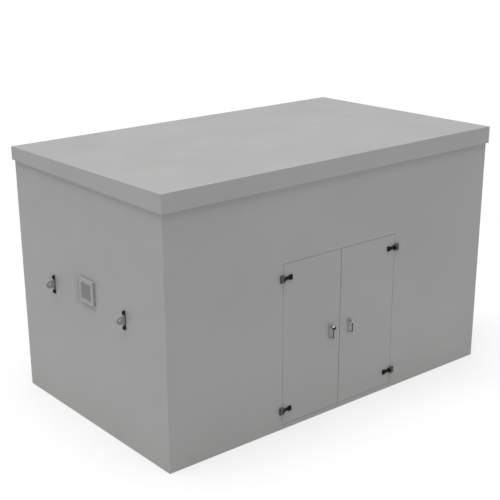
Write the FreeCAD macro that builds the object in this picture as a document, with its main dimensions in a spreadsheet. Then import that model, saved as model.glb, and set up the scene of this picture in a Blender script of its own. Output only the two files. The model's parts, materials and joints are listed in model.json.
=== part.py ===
import FreeCAD, Part
import math
import os
import sys

import Sketcher
from FreeCAD import Placement, Rotation, Vector

# Home standby generator in a steel weatherproof enclosure.
# Frame: +Z up, front doors face -Y, the end with the square vent faces -X.
# Origin: ground level, centre of the four anchor holes. Millimetres.

os.makedirs("parts", exist_ok=True)
doc = FreeCAD.newDocument("standby_generator")
sheet = doc.addObject("Spreadsheet::Sheet", "Dims")


class Q:
    """A size: the expression that drives it and its present value."""

    def __init__(self, text, value):
        self.text = text
        self.value = float(value)

    @staticmethod
    def of(v):
        if isinstance(v, Q):
            return v
        s = "%.6f" % float(v)
        s = s.rstrip("0").rstrip(".")
        return Q("(%s)" % s if s.startswith("-") else s, v)

    def _do(self, o, op, v):
        return Q("(%s %s %s)" % (self.text, op, o.text), v)

    def __add__(self, o):
        o = Q.of(o)
        return self._do(o, "+", self.value + o.value)

    def __radd__(self, o):
        return Q.of(o) + self

    def __sub__(self, o):
        o = Q.of(o)
        return self._do(o, "-", self.value - o.value)

    def __rsub__(self, o):
        return Q.of(o) - self

    def __mul__(self, o):
        o = Q.of(o)
        return self._do(o, "*", self.value * o.value)

    def __rmul__(self, o):
        return Q.of(o) * self

    def __truediv__(self, o):
        o = Q.of(o)
        return self._do(o, "/", self.value / o.value)

    def __neg__(self):
        return Q("(0 - %s)" % self.text, -self.value)


row = 0


def dim(alias, value, note=""):
    global row
    row += 1
    sheet.set("A%d" % row, alias)
    sheet.set("B%d" % row, "%g" % value)
    sheet.setAlias("B%d" % row, alias)
    sheet.set("C%d" % row, note)
    return Q("Dims." + alias, value)


# ---- driving dimensions ---------------------------------------------------
wall_len = dim("wall_len", 1600, "enclosure length over the walls")
wall_dep = dim("wall_dep", 964, "enclosure depth over the walls")
lid_over = dim("lid_over", 8, "lid overhang on each side")
lid_top = dim("lid_top", 1000, "lid height at the front")
lid_fall = dim("lid_fall", 16, "fall of the lid towards the rear")
fascia_bot = dim("fascia_bot", 933.5, "lower edge of the lid's skirt")
skin = dim("skin", 2, "sheet steel thickness")
door_half = dim("door_half", 286.25, "half width of the door opening")
door_bot = dim("door_bot", 17.5, "bottom of the door opening")
door_top = dim("door_top", 652, "top of the door opening")
door_gap = dim("door_gap", 1.2, "gap round the doors")
meet_gap = dim("meet_gap", 2.2, "gap where the two doors meet")
door_fold = dim("door_fold", 16, "depth of the door pans")
hinge_out = dim("hinge_out", 6, "hinge pin axis in front of the wall")
hinge_pin = dim("hinge_pin", 2, "hinge pin radius")
hinge_low = dim("hinge_low", 77.5, "height of the lower hinges")
hinge_top = dim("hinge_top", 596.5, "height of the upper hinges")
knuckle = dim("knuckle", 4.2, "hinge knuckle radius")
latch_off = dim("latch_off", 49.5, "handle axis from the meeting edge")
latch_hgt = dim("latch_hgt", 354, "height of the handle pivots")
handle_rod = dim("handle_rod", 2.1, "radius of the handles' rod")
vent_side = dim("vent_side", 93, "outside of the square vent frame")
vent_open = dim("vent_open", 63.5, "inside of the square vent frame")
vent_proud = dim("vent_proud", 9, "vent frame height off the wall")
vent_hgt = dim("vent_hgt", 537, "height of the vent centre")
vent_mid = dim("vent_mid", -2.5, "vent centre from the middle of the wall")
lug_off = dim("lug_off", 239, "lifting lugs from the centre line")
lug_hgt = dim("lug_hgt", 497.5, "height of the lifting lugs")
lug_len = dim("lug_len", 72, "height of a lug's base plate")
lug_out = dim("lug_out", 36, "reach of a lug from the wall")
lug_hole = dim("lug_hole", 7.2, "radius of the lug's hole")
lug_rise = dim("lug_rise", 3.5, "eye centre above the middle of its base plate")
anchor_x = dim("anchor_x", 700, "anchor holes, half spacing along the length")
anchor_y = dim("anchor_y", 427, "anchor holes, half spacing across")
anchor_rad = dim("anchor_rad", 7, "anchor hole radius")
rail_hgt = dim("rail_hgt", 60, "base rail height")
rail_wid = dim("rail_wid", 50, "base rail width")
rail_web = dim("rail_web", 4, "base rail thickness")
crank_y = dim("crank_y", 30, "crankshaft axis, across")
crank_z = dim("crank_z", 250, "crankshaft axis height")
shaft_rad = dim("shaft_rad", 20, "main shaft radius")
run_gap = dim("run_gap", 0.08, "radial running clearance")
fan_z = dim("fan_z", 400, "fan axis height")
fan_rad = dim("fan_rad", 155, "fan tip radius")
alt_rad = dim("alt_rad", 150, "alternator frame radius")
muff_y = dim("muff_y", 200, "muffler axis, across")
muff_z = dim("muff_z", 680, "muffler axis height")
muff_rad = dim("muff_rad", 75, "muffler radius")
pipe_rad = dim("pipe_rad", 22, "exhaust pipe radius")
rad_y0 = dim("rad_y0", -150, "radiator, front side")
rad_y1 = dim("rad_y1", 210, "radiator, rear side")
rad_z0 = dim("rad_z0", 220, "radiator core bottom")
rad_z1 = dim("rad_z1", 580, "radiator core top")
ctl_x0 = dim("ctl_x0", -270, "control box, left side")
ctl_x1 = dim("ctl_x1", -20, "control box, right side")
ctl_y0 = dim("ctl_y0", -320, "control box face")
ctl_z0 = dim("ctl_z0", 440, "control box bottom")
ctl_z1 = dim("ctl_z1", 640, "control box top")
bat_x0 = dim("bat_x0", -280, "battery, left side")
bat_x1 = dim("bat_x1", -60, "battery, right side")
bat_y0 = dim("bat_y0", -395, "battery, front side")
bat_y1 = dim("bat_y1", -225, "battery, rear side")
bat_hgt = dim("bat_hgt", 190, "battery case height")
mount_z = dim("mount_z", 143, "top of the anti-vibration mounts")
doc.recompute()

HL = wall_len / 2
HD = wall_dep / 2
tray = 3.0

# ---- helpers --------------------------------------------------------------
nodes = []
serial = 0


def nm(stem):
    global serial
    serial += 1
    return "%s_%03d" % (stem, serial)


def bind(obj, prop, v):
    v = Q.of(v)
    obj.setExpression(prop, v.text)


def place(obj, x, y, z, rot=None):
    if rot is not None:
        obj.Placement = Placement(Vector(0, 0, 0), rot)
    bind(obj, "Placement.Base.x", x)
    bind(obj, "Placement.Base.y", y)
    bind(obj, "Placement.Base.z", z)


def box(x0, x1, y0, y1, z0, z1):
    o = doc.addObject("Part::Box", nm("block"))
    x0, x1, y0, y1, z0, z1 = [Q.of(v) for v in (x0, x1, y0, y1, z0, z1)]
    bind(o, "Length", x1 - x0)
    bind(o, "Width", y1 - y0)
    bind(o, "Height", z1 - z0)
    place(o, x0, y0, z0)
    return o


ROT = {
    "z": None,
    "x": Rotation(Vector(0, 1, 0), 90),
    "y": Rotation(Vector(1, 0, 0), -90),
}


def cyl(axis, lo, hi, a, b, r):
    """Cylinder along an axis from lo to hi; a, b are the other two coordinates in X, Y, Z order."""
    o = doc.addObject("Part::Cylinder", nm("round"))
    lo, hi, a, b = [Q.of(v) for v in (lo, hi, a, b)]
    bind(o, "Radius", r)
    bind(o, "Height", hi - lo)
    if axis == "z":
        place(o, a, b, lo)
    elif axis == "x":
        place(o, lo, a, b, ROT["x"])
    else:
        place(o, a, lo, b, ROT["y"])
    return o


def cone(axis, lo, hi, a, b, r1, r2):
    o = doc.addObject("Part::Cone", nm("taper"))
    lo, hi, a, b = [Q.of(v) for v in (lo, hi, a, b)]
    bind(o, "Radius1", r1)
    bind(o, "Radius2", r2)
    bind(o, "Height", hi - lo)
    if axis == "z":
        place(o, a, b, lo)
    elif axis == "x":
        place(o, lo, a, b, ROT["x"])
    else:
        place(o, a, lo, b, ROT["y"])
    return o


def fuse(*parts):
    if len(parts) == 1:
        return parts[0]
    o = doc.addObject("Part::MultiFuse", nm("join"))
    o.Shapes = list(parts)
    o.Refine = True
    return o


def group(*parts):
    o = doc.addObject("Part::Compound", nm("set"))
    o.Links = list(parts)
    return o


def cut(base, *tools):
    o = doc.addObject("Part::Cut", nm("cut"))
    o.Base = base
    o.Tool = tools[0] if len(tools) == 1 else fuse(*tools)
    return o


def rounded(base, r, pick):
    """Fillet the edges of base whose mid point and direction satisfy pick."""
    doc.recompute()
    o = doc.addObject("Part::Fillet", nm("soft"))
    o.Base = base
    chosen = []
    for i, e in enumerate(base.Shape.Edges, 1):
        c = e.BoundBox
        if pick(e, c):
            chosen.append((i, r, r))
    if not chosen:
        raise SystemExit("no edges to round on " + base.Name)
    o.Edges = chosen
    return o


def along(axis):
    def test(e, b):
        size = {"x": b.XLength, "y": b.YLength, "z": b.ZLength}
        other = [size[k] for k in size if k != axis]
        return size[axis] > 0.5 and max(other) < 1e-6

    return test


def node(obj, label):
    obj.Label = label
    if obj.Label != label:
        raise SystemExit("label taken: " + label)
    nodes.append(obj)
    return obj


# ---- sketch based bodies --------------------------------------------------
def body(stem):
    return doc.addObject("PartDesign::Body", nm(stem))


def plane(b, which):
    for f in b.Origin.OriginFeatures:
        if f.Role == which + "_Plane":
            return f
    raise SystemExit("no plane " + which)


def sketch(b, which, offset, loops):
    """loops: ("poly", [(u, v), ...]) or ("circle", u, v, r); every point is driven."""
    sk = b.newObject("Sketcher::SketchObject", nm("sk"))
    sk.AttachmentSupport = [(plane(b, which), "")]
    sk.MapMode = "FlatFace"
    bind(sk, "AttachmentOffset.Base.z", offset)
    n = 0
    todo = []
    for loop in loops:
        if loop[0] == "poly":
            pts = [(Q.of(u), Q.of(v)) for u, v in loop[1]]
            k = len(pts)
            for i in range(k):
                a, c = pts[i], pts[(i + 1) % k]
                sk.addGeometry(
                    Part.LineSegment(
                        Vector(a[0].value, a[1].value, 0),
                        Vector(c[0].value, c[1].value, 0),
                    ),
                    False,
                )
            for i in range(k):
                sk.addConstraint(
                    Sketcher.Constraint("Coincident", n + i, 2, n + (i + 1) % k, 1)
                )
            for i in range(k):
                for what, q in (("DistanceX", pts[i][0]), ("DistanceY", pts[i][1])):
                    c = sk.addConstraint(
                        Sketcher.Constraint(what, -1, 1, n + i, 1, q.value)
                    )
                    sk.renameConstraint(c, "%s%d" % (what[-1].lower(), n + i))
                    todo.append(("Constraints.%s%d" % (what[-1].lower(), n + i), q))
            n += k
        else:
            u, v, r = [Q.of(w) for w in loop[1:]]
            sk.addGeometry(
                Part.Circle(Vector(u.value, v.value, 0), Vector(0, 0, 1), r.value),
                False,
            )
            for what, q in (("DistanceX", u), ("DistanceY", v)):
                c = sk.addConstraint(Sketcher.Constraint(what, -1, 1, n, 3, q.value))
                sk.renameConstraint(c, "%s%d" % (what[-1].lower(), n))
                todo.append(("Constraints.%s%d" % (what[-1].lower(), n), q))
            c = sk.addConstraint(Sketcher.Constraint("Radius", n, r.value))
            sk.renameConstraint(c, "r%d" % n)
            todo.append(("Constraints.r%d" % n, r))
            n += 1
    for prop, q in todo:
        if "Dims." in q.text:
            sk.setExpression(prop, q.text)
    return sk


def slab(b, which, lo, hi, *loops, remove=False):
    """Pad (or pocket) between two stations on the axis normal to the plane."""
    lo, hi = Q.of(lo), Q.of(hi)
    offset = -hi if which == "XZ" else lo
    sk = sketch(b, which, offset, loops)
    f = b.newObject("PartDesign::" + ("Pocket" if remove else "Pad"), nm("feat"))
    f.Profile = sk
    bind(f, "Length", hi - lo)
    if remove:
        f.Reversed = True
        doc.recompute()
        before = f.BaseFeature.Shape.Volume
        if not f.Shape.Volume < before - 1e-3:
            raise SystemExit("pocket removed nothing: " + f.Name)
    b.Tip = f
    return f


def rect(u0, v0, u1, v1):
    return ("poly", [(u0, v0), (u1, v0), (u1, v1), (u0, v1)])


def turned(b, which, pts, axis="H_Axis", remove=False):
    sk = sketch(b, which, 0, [("poly", pts)])
    f = b.newObject("PartDesign::" + ("Groove" if remove else "Revolution"), nm("turn"))
    f.Profile = sk
    f.ReferenceAxis = (sk, [axis])
    f.Angle = 360.0
    b.Tip = f
    return f


def pipe(label_points, radius, bends):
    """Straight runs joined by tangent arcs, swept by a circle."""
    P = [Vector(*[float(Q.of(c).value) for c in p]) for p in label_points]
    edges = []
    start = P[0]
    length = 0.0
    for i in range(1, len(P) - 1):
        a, m, c = P[i - 1], P[i], P[i + 1]
        d1 = (m - a).normalize()
        d2 = (c - m).normalize()
        turn = d1.getAngle(d2)
        short = min((m - a).Length, (c - m).Length)
        r = bends if bends else 0.45 * short / math.tan(turn / 2)
        t = r * math.tan(turn / 2)
        t1 = m - d1 * t
        t2 = m + d2 * t
        n = d1.cross(d2).normalize()
        centre = t1 + n.cross(d1) * r
        mid = centre + (m - centre).normalize() * r
        if (t1 - start).Length > 1e-6:
            edges.append(Part.LineSegment(start, t1).toShape())
            length += (t1 - start).Length
        edges.append(Part.Arc(t1, mid, t2).toShape())
        length += r * turn
        print("bend radius %.1f on a tube of radius %.1f" % (r, radius.value))
        start = t2
    edges.append(Part.LineSegment(start, P[-1]).toShape())
    length += (P[-1] - start).Length
    path = Part.Wire(edges)
    d0 = (P[1] - P[0]).normalize()
    ring = Part.Wire([Part.Circle(P[0], d0, radius.value).toShape()])
    made = path.makePipeShell([ring], True, False)
    want = math.pi * radius.value**2 * length
    if abs(made.Volume - want) > 0.01 * want:
        raise SystemExit("tube volume %.0f, expected %.0f" % (made.Volume, want))
    o = doc.addObject("Part::Feature", nm("tube"))
    o.Shape = made
    o.Placement = Placement()
    print("tube length %.0f" % length)
    return o


# ===========================================================================
# Enclosure
# ===========================================================================
# Base frame: floor tray with the conduit stub-up opening, two channel rails,
# three angle cross members, four anchor holes.
b = body("base")
IN = HL - skin
slab(
    b, "XY", 0, tray,
    rect(-IN, -(HD - skin), IN, HD - skin),
    rect(-770, -150, -520, 150),
)
rail_y = HD - 30
for s in (-1, 1):
    y0 = rail_y * s
    y1 = (rail_y - rail_wid) * s
    yw = (rail_y - rail_web) * s
    z0 = Q.of(tray)
    z1 = z0 + rail_hgt
    slab(
        b, "YZ", -(IN - 4), IN - 4,
        ("poly", [(y0, z0), (y1, z0), (y1, z0 + rail_web), (yw, z0 + rail_web),
                  (yw, z1 - rail_web), (y1, z1 - rail_web), (y1, z1), (y0, z1)]),
    )
inner = rail_y - rail_wid
for x0 in (-500, 0, 440):
    slab(
        b, "XZ", -inner, inner,
        ("poly", [(x0, tray), (x0 + 40, tray), (x0 + 40, tray + 4), (x0 + 4, tray + 4),
                  (x0 + 4, 63), (x0, 63)]),
    )
holes = [("circle", anchor_x * i, anchor_y * j, anchor_rad) for i in (-1, 1) for j in (-1, 1)]
slab(b, "XY", -1, tray + rail_web + 1, *holes, remove=True)
keys = [("circle", anchor_x * i, anchor_y * j, 20) for i in (-1, 1) for j in (-1, 1)]
slab(b, "XY", 55, 65, *keys, remove=True)
node(b, "base_frame")

# Front panel: wall sheet with the door opening, the jamb round the opening
# with its lip, and folded edges at the top and the ends.
def front_back(face_y, sign, top, opening):
    """sign -1 for the front wall (outer face at -Y), +1 for the rear wall."""
    bb = body("wall")
    lo, hi = (face_y, face_y + skin) if sign < 0 else (face_y - skin, face_y)
    slab(bb, "XZ", lo, hi, rect(-HL, 0, HL, top), *opening)
    ilo, ihi = (hi, hi + 24) if sign < 0 else (lo - 24, lo)
    slab(bb, "XZ", ilo, ihi, rect(-(HL - skin), top - skin, HL - skin, top))
    for s in (-1, 1):
        slab(bb, "XZ", ilo, ihi,
             rect(*((-(HL - skin), 5, -(HL - 2 * skin), top - skin) if s < 0
                    else (HL - 2 * skin, 5, HL - skin, top - skin))))
    return bb


front_top = Q.of(986)
b = front_back(-HD, -1, front_top, [rect(-door_half, door_bot, door_half, door_top)])
jy0 = -(HD - skin)
lip0 = -(HD - door_fold - 2)
lip1 = lip0 + skin
slab(
    b, "XZ", jy0, lip1,
    rect(-(door_half + skin), door_bot - skin, door_half + skin, door_top + skin),
    rect(-door_half, door_bot, door_half, door_top),
)
slab(
    b, "XZ", lip0, lip1,
    rect(-door_half, door_bot, door_half, door_top),
    rect(-(door_half - 16), door_bot + 16, door_half - 16, door_top - 16),
)
# keeper holes for the two shoot bolts, in the jamb above and below the doors
slab(b, "XY", door_top - 1, door_top + skin + 1, rect(28, -478, 40, -467), remove=True)
slab(b, "XY", door_bot - skin - 1, door_bot + 1, rect(28, -478, 40, -467), remove=True)
node(b, "front_panel")

# Rear panel with the intake louvre opening and the tail pipe hole.
rear_top = Q.of(971)
b = front_back(
    HD, 1, rear_top,
    [rect(-600, 120, -140, 500), ("circle", -360, muff_z, pipe_rad + 4)],
)
node(b, "rear_panel")

# End panels: sheet with sloping top, folded top edge left plain.
lug_z = [lug_hgt - 28, lug_hgt + 28]


def end_panel(s, loops):
    bb = body("end")
    lo, hi = ((-HL, -(HL - skin)) if s < 0 else (HL - skin, HL))
    e = HD - skin
    lugs = [("circle", lug_off * t, z, 4.2) for t in (-1, 1) for z in lug_z]
    slab(bb, "YZ", lo, hi,
         ("poly", [(-e, 0), (e, 0), (e, rear_top), (-e, front_top)]), *loops, *lugs)
    return bb


vh = vent_open / 2
v0, v1 = vent_mid - vh, vent_mid + vh
node(end_panel(-1, [rect(v0, vent_hgt - vh, v1, vent_hgt + vh)]), "left_end_panel")
node(end_panel(1, [rect(rad_y0, rad_z0, rad_y1, rad_z1)]), "right_end_panel")

# Lid: folded pan with a fall to the rear, three stiffening channels inside.
b = body("lid")
LD = HD + lid_over
LL = HL + lid_over
rear_z = lid_top - lid_fall
slab(b, "YZ", -LL, LL, ("poly", [(-LD, fascia_bot), (LD, fascia_bot), (LD, rear_z), (-LD, lid_top)]))
f = slab(
    b, "YZ", -(LL - skin), LL - skin,
    ("poly", [(-(LD - skin), fascia_bot - 1), (LD - skin, fascia_bot - 1),
              (LD - skin, rear_z - skin), (-(LD - skin), lid_top - skin)]),
    remove=True,
)
lid_body = b
ribs = []
for x0 in (-500, -15, 470):
    rb = body("rib")
    # inverted channel under the lid; its slope follows the lid
    slab(rb, "YZ", x0, x0 + 30,
         ("poly", [(-(HD - 30), lid_top - 26), (HD - 30, rear_z - 26),
                   (HD - 30, rear_z - 0.6), (-(HD - 30), lid_top - 1.6)]))
    ribs.append(rb)
lid = fuse(lid_body, *ribs)
node(lid, "roof_lid")

# Weather seals: one closed strip on the door jamb lip, one under the lid.
b = body("jambseal")
slab(
    b, "XZ", lip0 - 1.7, lip0,
    rect(-(door_half - 3), door_bot + 3, door_half - 3, door_top - 3),
    rect(-(door_half - 13), door_bot + 13, door_half - 13, door_top - 13),
)
ls = body("lidseal")
slab(
    ls, "XZ", -(HD - 2), -(HD - 22),
    rect(-(HL - 4), front_top, HL - 4, front_top + 11),
)
rs = body("rearseal")
slab(
    rs, "XZ", HD - 22, HD - 2,
    rect(-(HL - 4), rear_top, HL - 4, rear_top + 10.6),
)
node(group(b, ls, rs), "weather_seals")

# Acoustic lining on the inside of the rear wall, the two ends and the lid.
lin = [
    box(-780, -620, HD - skin - 20, HD - skin, 80, 930),
    box(-120, 780, HD - skin - 20, HD - skin, 80, 930),
    box(-600, -140, HD - skin - 20, HD - skin, 760, 930),
    box(-(HL - skin), -(HL - skin - 20), -430, -60, 80, 440),
    box(-(HL - skin), -(HL - skin - 20), 60, 430, 80, 440),
    box(-(HL - skin), -(HL - skin - 20), -430, 430, 620, 900),
    box(HL - skin - 20, HL - skin, -430, 430, 650, 900),
    box(-780, -320, -(HD - skin), -(HD - skin - 20), 80, 930),
    box(320, 780, -(HD - skin), -(HD - skin - 20), 80, 930),
    box(-300, 300, -(HD - skin), -(HD - skin - 20), 680, 930),
]
node(group(*lin), "acoustic_linings")

# Square vent on the left end: raised frame and the mesh inside it.
b = body("vent")
vs = vent_side / 2
slab(b, "YZ", -(HL + vent_proud), -HL,
     rect(vent_mid - vs, vent_hgt - vs, vent_mid + vs, vent_hgt + vs),
     rect(v0, vent_hgt - vh, v1, vent_hgt + vh))
doc.recompute()
last = b.Tip
ch = b.newObject("PartDesign::Chamfer", nm("edge"))
outer = [
    "Edge%d" % i
    for i, e in enumerate(last.Shape.Edges, 1)
    if abs(e.BoundBox.XMin + HL.value + vent_proud.value) < 1e-6
    and abs(e.BoundBox.XMax + HL.value + vent_proud.value) < 1e-6
    and (abs(e.CenterOfMass.y - vent_mid.value) > vh.value + 5 or abs(e.CenterOfMass.z - vent_hgt.value) > vh.value + 5)
]
ch.Base = (last, outer)
ch.Size = 1.5
b.Tip = ch
node(b, "vent_frame")
b = body("mesh")
slab(b, "YZ", -(HL + 7.4), -(HL + 6.2), rect(v0, vent_hgt - vh, v1, vent_hgt + vh))
# fine upright slots, with a plain band across the middle
sl = slab(b, "YZ", -(HL + 8), -(HL + 5), rect(vent_mid - 28.6, vent_hgt - 29, vent_mid - 27.3, vent_hgt + 29), remove=True)
lp = b.newObject("PartDesign::LinearPattern", nm("row"))
lp.Originals = [sl]
lp.Direction = (sl.Profile[0], ["H_Axis"])
lp.Length = 55.9
lp.Occurrences = 22
b.Tip = lp
node(b, "vent_mesh")

# Lifting lugs: black base plate with two bolts, drilled eye plate.
eyes, plates, bolts = [], [], []
for s in (-1, 1):
    for t in (-1, 1):
        yc = lug_off * t
        wall = HL * s
        face = (HL + 3) * s
        nose = (HL + lug_out) * s
        ez = lug_hgt + lug_rise
        e = body("eye")
        slab(e, "XZ", yc - 4, yc + 4,
             ("poly", [(face, ez - 16.5), (nose - 17 * s, ez - 14.8), (nose - 10 * s, ez - 13.2),
                       (nose - 4 * s, ez - 9), (nose - 0.6 * s, ez - 4), (nose - 0.6 * s, ez + 4),
                       (nose - 4 * s, ez + 9), (nose - 10 * s, ez + 13.2), (nose - 17 * s, ez + 14.8),
                       (face, ez + 16.5)]),
             ("circle", (HL + 21) * s, ez, lug_hole))
        eyes.append(e)
        p = body("plate")
        lo, hi = (face, wall) if s < 0 else (wall, face)
        slab(p, "YZ", lo, hi,
             rect(yc - 5.5, lug_hgt - lug_len / 2, yc + 5.5, lug_hgt + lug_len / 2),
             *[("circle", yc, z, 4.2) for z in lug_z])
        plates.append(p)
        for z in lug_z:
            if s < 0:
                shank = cyl("x", -(HL + 3), -(HL - 12), yc, z, 4)
                head = cyl("x", -(HL + 7), -(HL + 3), yc, z, 7)
                nut = cyl("x", -(HL - skin), -(HL - 9), yc, z, 6.5)
            else:
                shank = cyl("x", HL - 12, HL + 3, yc, z, 4)
                head = cyl("x", HL + 3, HL + 7, yc, z, 7)
                nut = cyl("x", HL - 9, HL - skin, yc, z, 6.5)
            bolts.append(fuse(shank, head, nut))
node(group(*eyes), "lifting_eyes")
node(group(*plates), "eye_base_plates")
node(group(*bolts), "eye_bolts")

# ---- hinges ---------------------------------------------------------------
hx = 286.0
pin_y = -(HD + hinge_out)
leaves, pins = [], []
for s in (-1, 1):
    for zc in (hinge_low, hinge_top):
        lo, hi = (-(hx + 15), -hx) if s < 0 else (hx, hx + 15)
        blk = box(lo, hi, -(HD + 9), -HD, zc - 12.5, zc + 12.5)
        bar = cyl("z", zc - 12.5, zc + 12.5, s * hx, pin_y, knuckle)
        notch = cyl("z", zc - 5.8, zc + 5.8, s * hx, pin_y, knuckle + 0.6)
        bore = cyl("z", zc - 13, zc + 13, s * hx, pin_y, hinge_pin)
        leaves.append(cut(fuse(blk, bar), notch, bore))
        pins.append(cyl("z", zc - 12.5, zc + 12.5, s * hx, pin_y, hinge_pin))
node(group(*leaves), "hinge_frame_leaves")
node(group(*pins), "hinge_pins")


def door_leaf(s, zc):
    bar = cyl("z", zc - 5.5, zc + 5.5, s * hx, pin_y, knuckle)
    if s < 0:
        web = box(-(hx - 1), -(hx - 6), -(HD + 5.4), -(HD + 0.4), zc - 5.5, zc + 5.5)
    else:
        web = box(hx - 6, hx - 1, -(HD + 5.4), -(HD + 0.4), zc - 5.5, zc + 5.5)
    strap = body("strap")
    p = [(281.2, -8), (276, -8), (269.5, -5), (265, -5), (258, -9.2), (244, -9.2),
         (244, 9.2), (258, 9.2), (265, 5), (269.5, 5), (276, 8), (281.2, 8)]
    slab(strap, "XZ", -(HD + 4), -HD, ("poly", [(s * x, zc + z) for x, z in p]))
    bore = cyl("z", zc - 9, zc + 9, s * hx, pin_y, hinge_pin + run_gap)
    holes = [cyl("y", -(HD + 5), -(HD - 1), s * 250.5, zc + dz, 2.1) for dz in (-5, 5)]
    return cut(fuse(bar, web, strap), bore, *holes)


def screws(s, zc):
    out = []
    for dz in (-5, 5):
        shank = cyl("y", -(HD + 4), -(HD - 8), s * 250.5, zc + dz, 2)
        head = cone("y", -(HD + 6), -(HD + 4), s * 250.5, zc + dz, 2.6, 3.6)
        out.append(fuse(shank, head))
    return out


# ---- doors ----------------------------------------------------------------
def door(s):
    """Folded pan; s = -1 is the left (active) leaf."""
    inner = meet_gap / 2
    outer = door_half - door_gap
    a, c = (-outer, -inner) if s < 0 else (inner, outer)
    z0, z1 = door_bot + door_gap, door_top - door_gap
    bb = body("door")
    cx = latch_off * s
    screw = [("circle", 250.5 * s, zc + dz, 2.1) for zc in (hinge_low, hinge_top) for dz in (-5, 5)]
    slab(bb, "XZ", -HD, -(HD - skin), rect(a, z0, c, z1),
         ("circle", cx, latch_hgt, 9), *screw)
    slab(bb, "XZ", -(HD - skin), -(HD - door_fold), rect(a, z0, c, z1),
         rect(a + skin, z0 + skin, c - skin, z1 - skin))
    if s > 0:
        for zz in (z1 - skin, z0):
            slab(bb, "XY", zz - 1, zz + skin + 1, rect(30, -475.5, 38, -469.5), remove=True)
    return bb, a, c, z0, z1


for s, side in ((-1, "left"), (1, "right")):
    d, a, c, z0, z1 = door(s)
    node(d, side + "_door")
    fo, fi = (a + 8, Q.of(-86)) if s < 0 else (Q.of(86), c - 8)
    lin = box(fo, fi, -(HD - skin), -(HD - door_fold + 1), z0 + 22, z1 - 22)
    cuts = [box(*((-256, -245) if s < 0 else (245, 256)), -(HD - skin), -(HD - 12), zc - 11, zc + 11)
            for zc in (hinge_low, hinge_top)]
    node(cut(lin, *cuts), side + "_door_lining")
    node(group(*[door_leaf(s, zc) for zc in (hinge_low, hinge_top)]), side + "_hinge_leaves")
    node(group(*sum([screws(s, zc) for zc in (hinge_low, hinge_top)], [])), side + "_hinge_screws")

# ---- latches --------------------------------------------------------------
# Body: escutcheon outside, round housing through the door, box inside.
def latch_body(s):
    cx = latch_off * s
    esc = box(cx - 7.5, cx + 7.5, -(HD + 3), -HD, latch_hgt - 50, latch_hgt + 11)
    esc = rounded(esc, 3, along("y"))
    neck = cyl("y", -(HD + 3), -(HD - 14), cx, latch_hgt, 8.9)
    hub = cyl("y", -(HD + 6), -(HD + 3), cx, latch_hgt, 8.4)
    bore = cyl("y", -(HD + 7), -(HD - 15), cx, latch_hgt, Q.of(5) + run_gap)
    return cut(fuse(esc, neck, hub), bore)


def handle(s):
    """Spindle and a hanging bow of round rod; its lower end curls back to the door.
    The left one carries the lock in a round head."""
    cx = latch_off * s
    spindle = cyl("y", -(HD + 8), -(HD - 22), cx, latch_hgt, 5)
    low = latch_hgt - 43
    rod = [(cx, -(HD + 19), low), (cx, -(HD + 4.6), low)]
    if s < 0:
        rod = [(cx, -(HD + 19), latch_hgt - 4)] + rod
        neck = cyl("y", -(HD + 15), -(HD + 7), cx, latch_hgt, 3)
        head = cyl("y", -(HD + 27), -(HD + 14), cx, latch_hgt, 5.8)
        return fuse(spindle, neck, head, pipe(rod, handle_rod, 5))
    rod = [(cx, -(HD + 7), latch_hgt), (cx, -(HD + 19), latch_hgt)] + rod
    whole = fuse(spindle, pipe(rod, handle_rod, 5))
    return whole


for s, side in ((-1, "left"), (1, "right")):
    cx = latch_off * s
    node(latch_body(s), side + "_latch_body")
    g = handle(s)
    if s < 0:
        g = cut(g, cyl("y", -(HD + 28), -(HD + 15.8), cx, latch_hgt, Q.of(4.4) + run_gap))
    node(g, side + "_handle")

# Lock cylinder in the left handle's hub: barrel with a keyway slot.
cx = -latch_off
barrel = cyl("y", -(HD + 28), -(HD + 16), cx, latch_hgt, 4.4)
key = box(cx - 0.6, cx + 0.6, -(HD + 29), -(HD + 22), latch_hgt - 3, latch_hgt + 3)
node(cut(barrel, key), "lock_cylinder")

# Left cam: at rest it hangs down; a quarter turn throws it behind the right leaf.
b = body("cam")
slab(b, "XZ", -(HD - 18.5), -(HD - 21.5),
     ("poly", [(cx - 9, latch_hgt - 9), (cx + 9, latch_hgt - 9), (cx + 9, latch_hgt + 9), (cx - 9, latch_hgt + 9)]),
     ("circle", cx, latch_hgt, 5))
slab(b, "XZ", -(HD - 18.5), -(HD - 21.5),
     ("poly", [(cx - 9, latch_hgt - 60), (cx + 9, latch_hgt - 60), (cx + 9, latch_hgt - 9), (cx - 9, latch_hgt - 9)]))
node(b, "left_latch_cam")

# Right disc: carries the two shoot bolts' drive pins.
cx = latch_off * 1
disc = cut(
    cyl("y", -(HD - 18), -(HD - 21), cx, latch_hgt, 16),
    cyl("y", -(HD - 17), -(HD - 22), cx, latch_hgt, 5),
)
node(disc, "right_latch_disc")

# Shoot bolts slide in the right leaf's meeting stile and pass through its edges.
bx = 34
up = fuse(
    box(bx - 3, bx + 3, -475, -470, latch_hgt + 24, door_top - door_gap - 1),
)
dn = fuse(
    box(bx - 3, bx + 3, -475, -470, door_bot + door_gap + 1, latch_hgt - 24),
)
node(up, "upper_shoot_bolt")
node(dn, "lower_shoot_bolt")

# ===========================================================================
# Air openings
# ===========================================================================
# Rear intake: flange, sleeve and sloping blades shedding rain outwards.
b = body("intake")
slab(b, "XZ", HD, HD + 3, rect(-615, 105, -125, 515), rect(-598, 122, -142, 498))
slab(b, "XZ", HD - 14, HD, rect(-600, 120, -140, 500), rect(-598, 122, -142, 498))
blade = slab(b, "YZ", -598, -142,
             ("poly", [(HD - 12, 146), (HD - 10, 146), (HD + 6, 126), (HD + 4, 126)]))
lp = b.newObject("PartDesign::LinearPattern", nm("row"))
lp.Originals = [blade]
lp.Direction = (blade.Profile[0], ["V_Axis"])
lp.Length = 350
lp.Occurrences = 15
b.Tip = lp
node(b, "intake_louvre")

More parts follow.
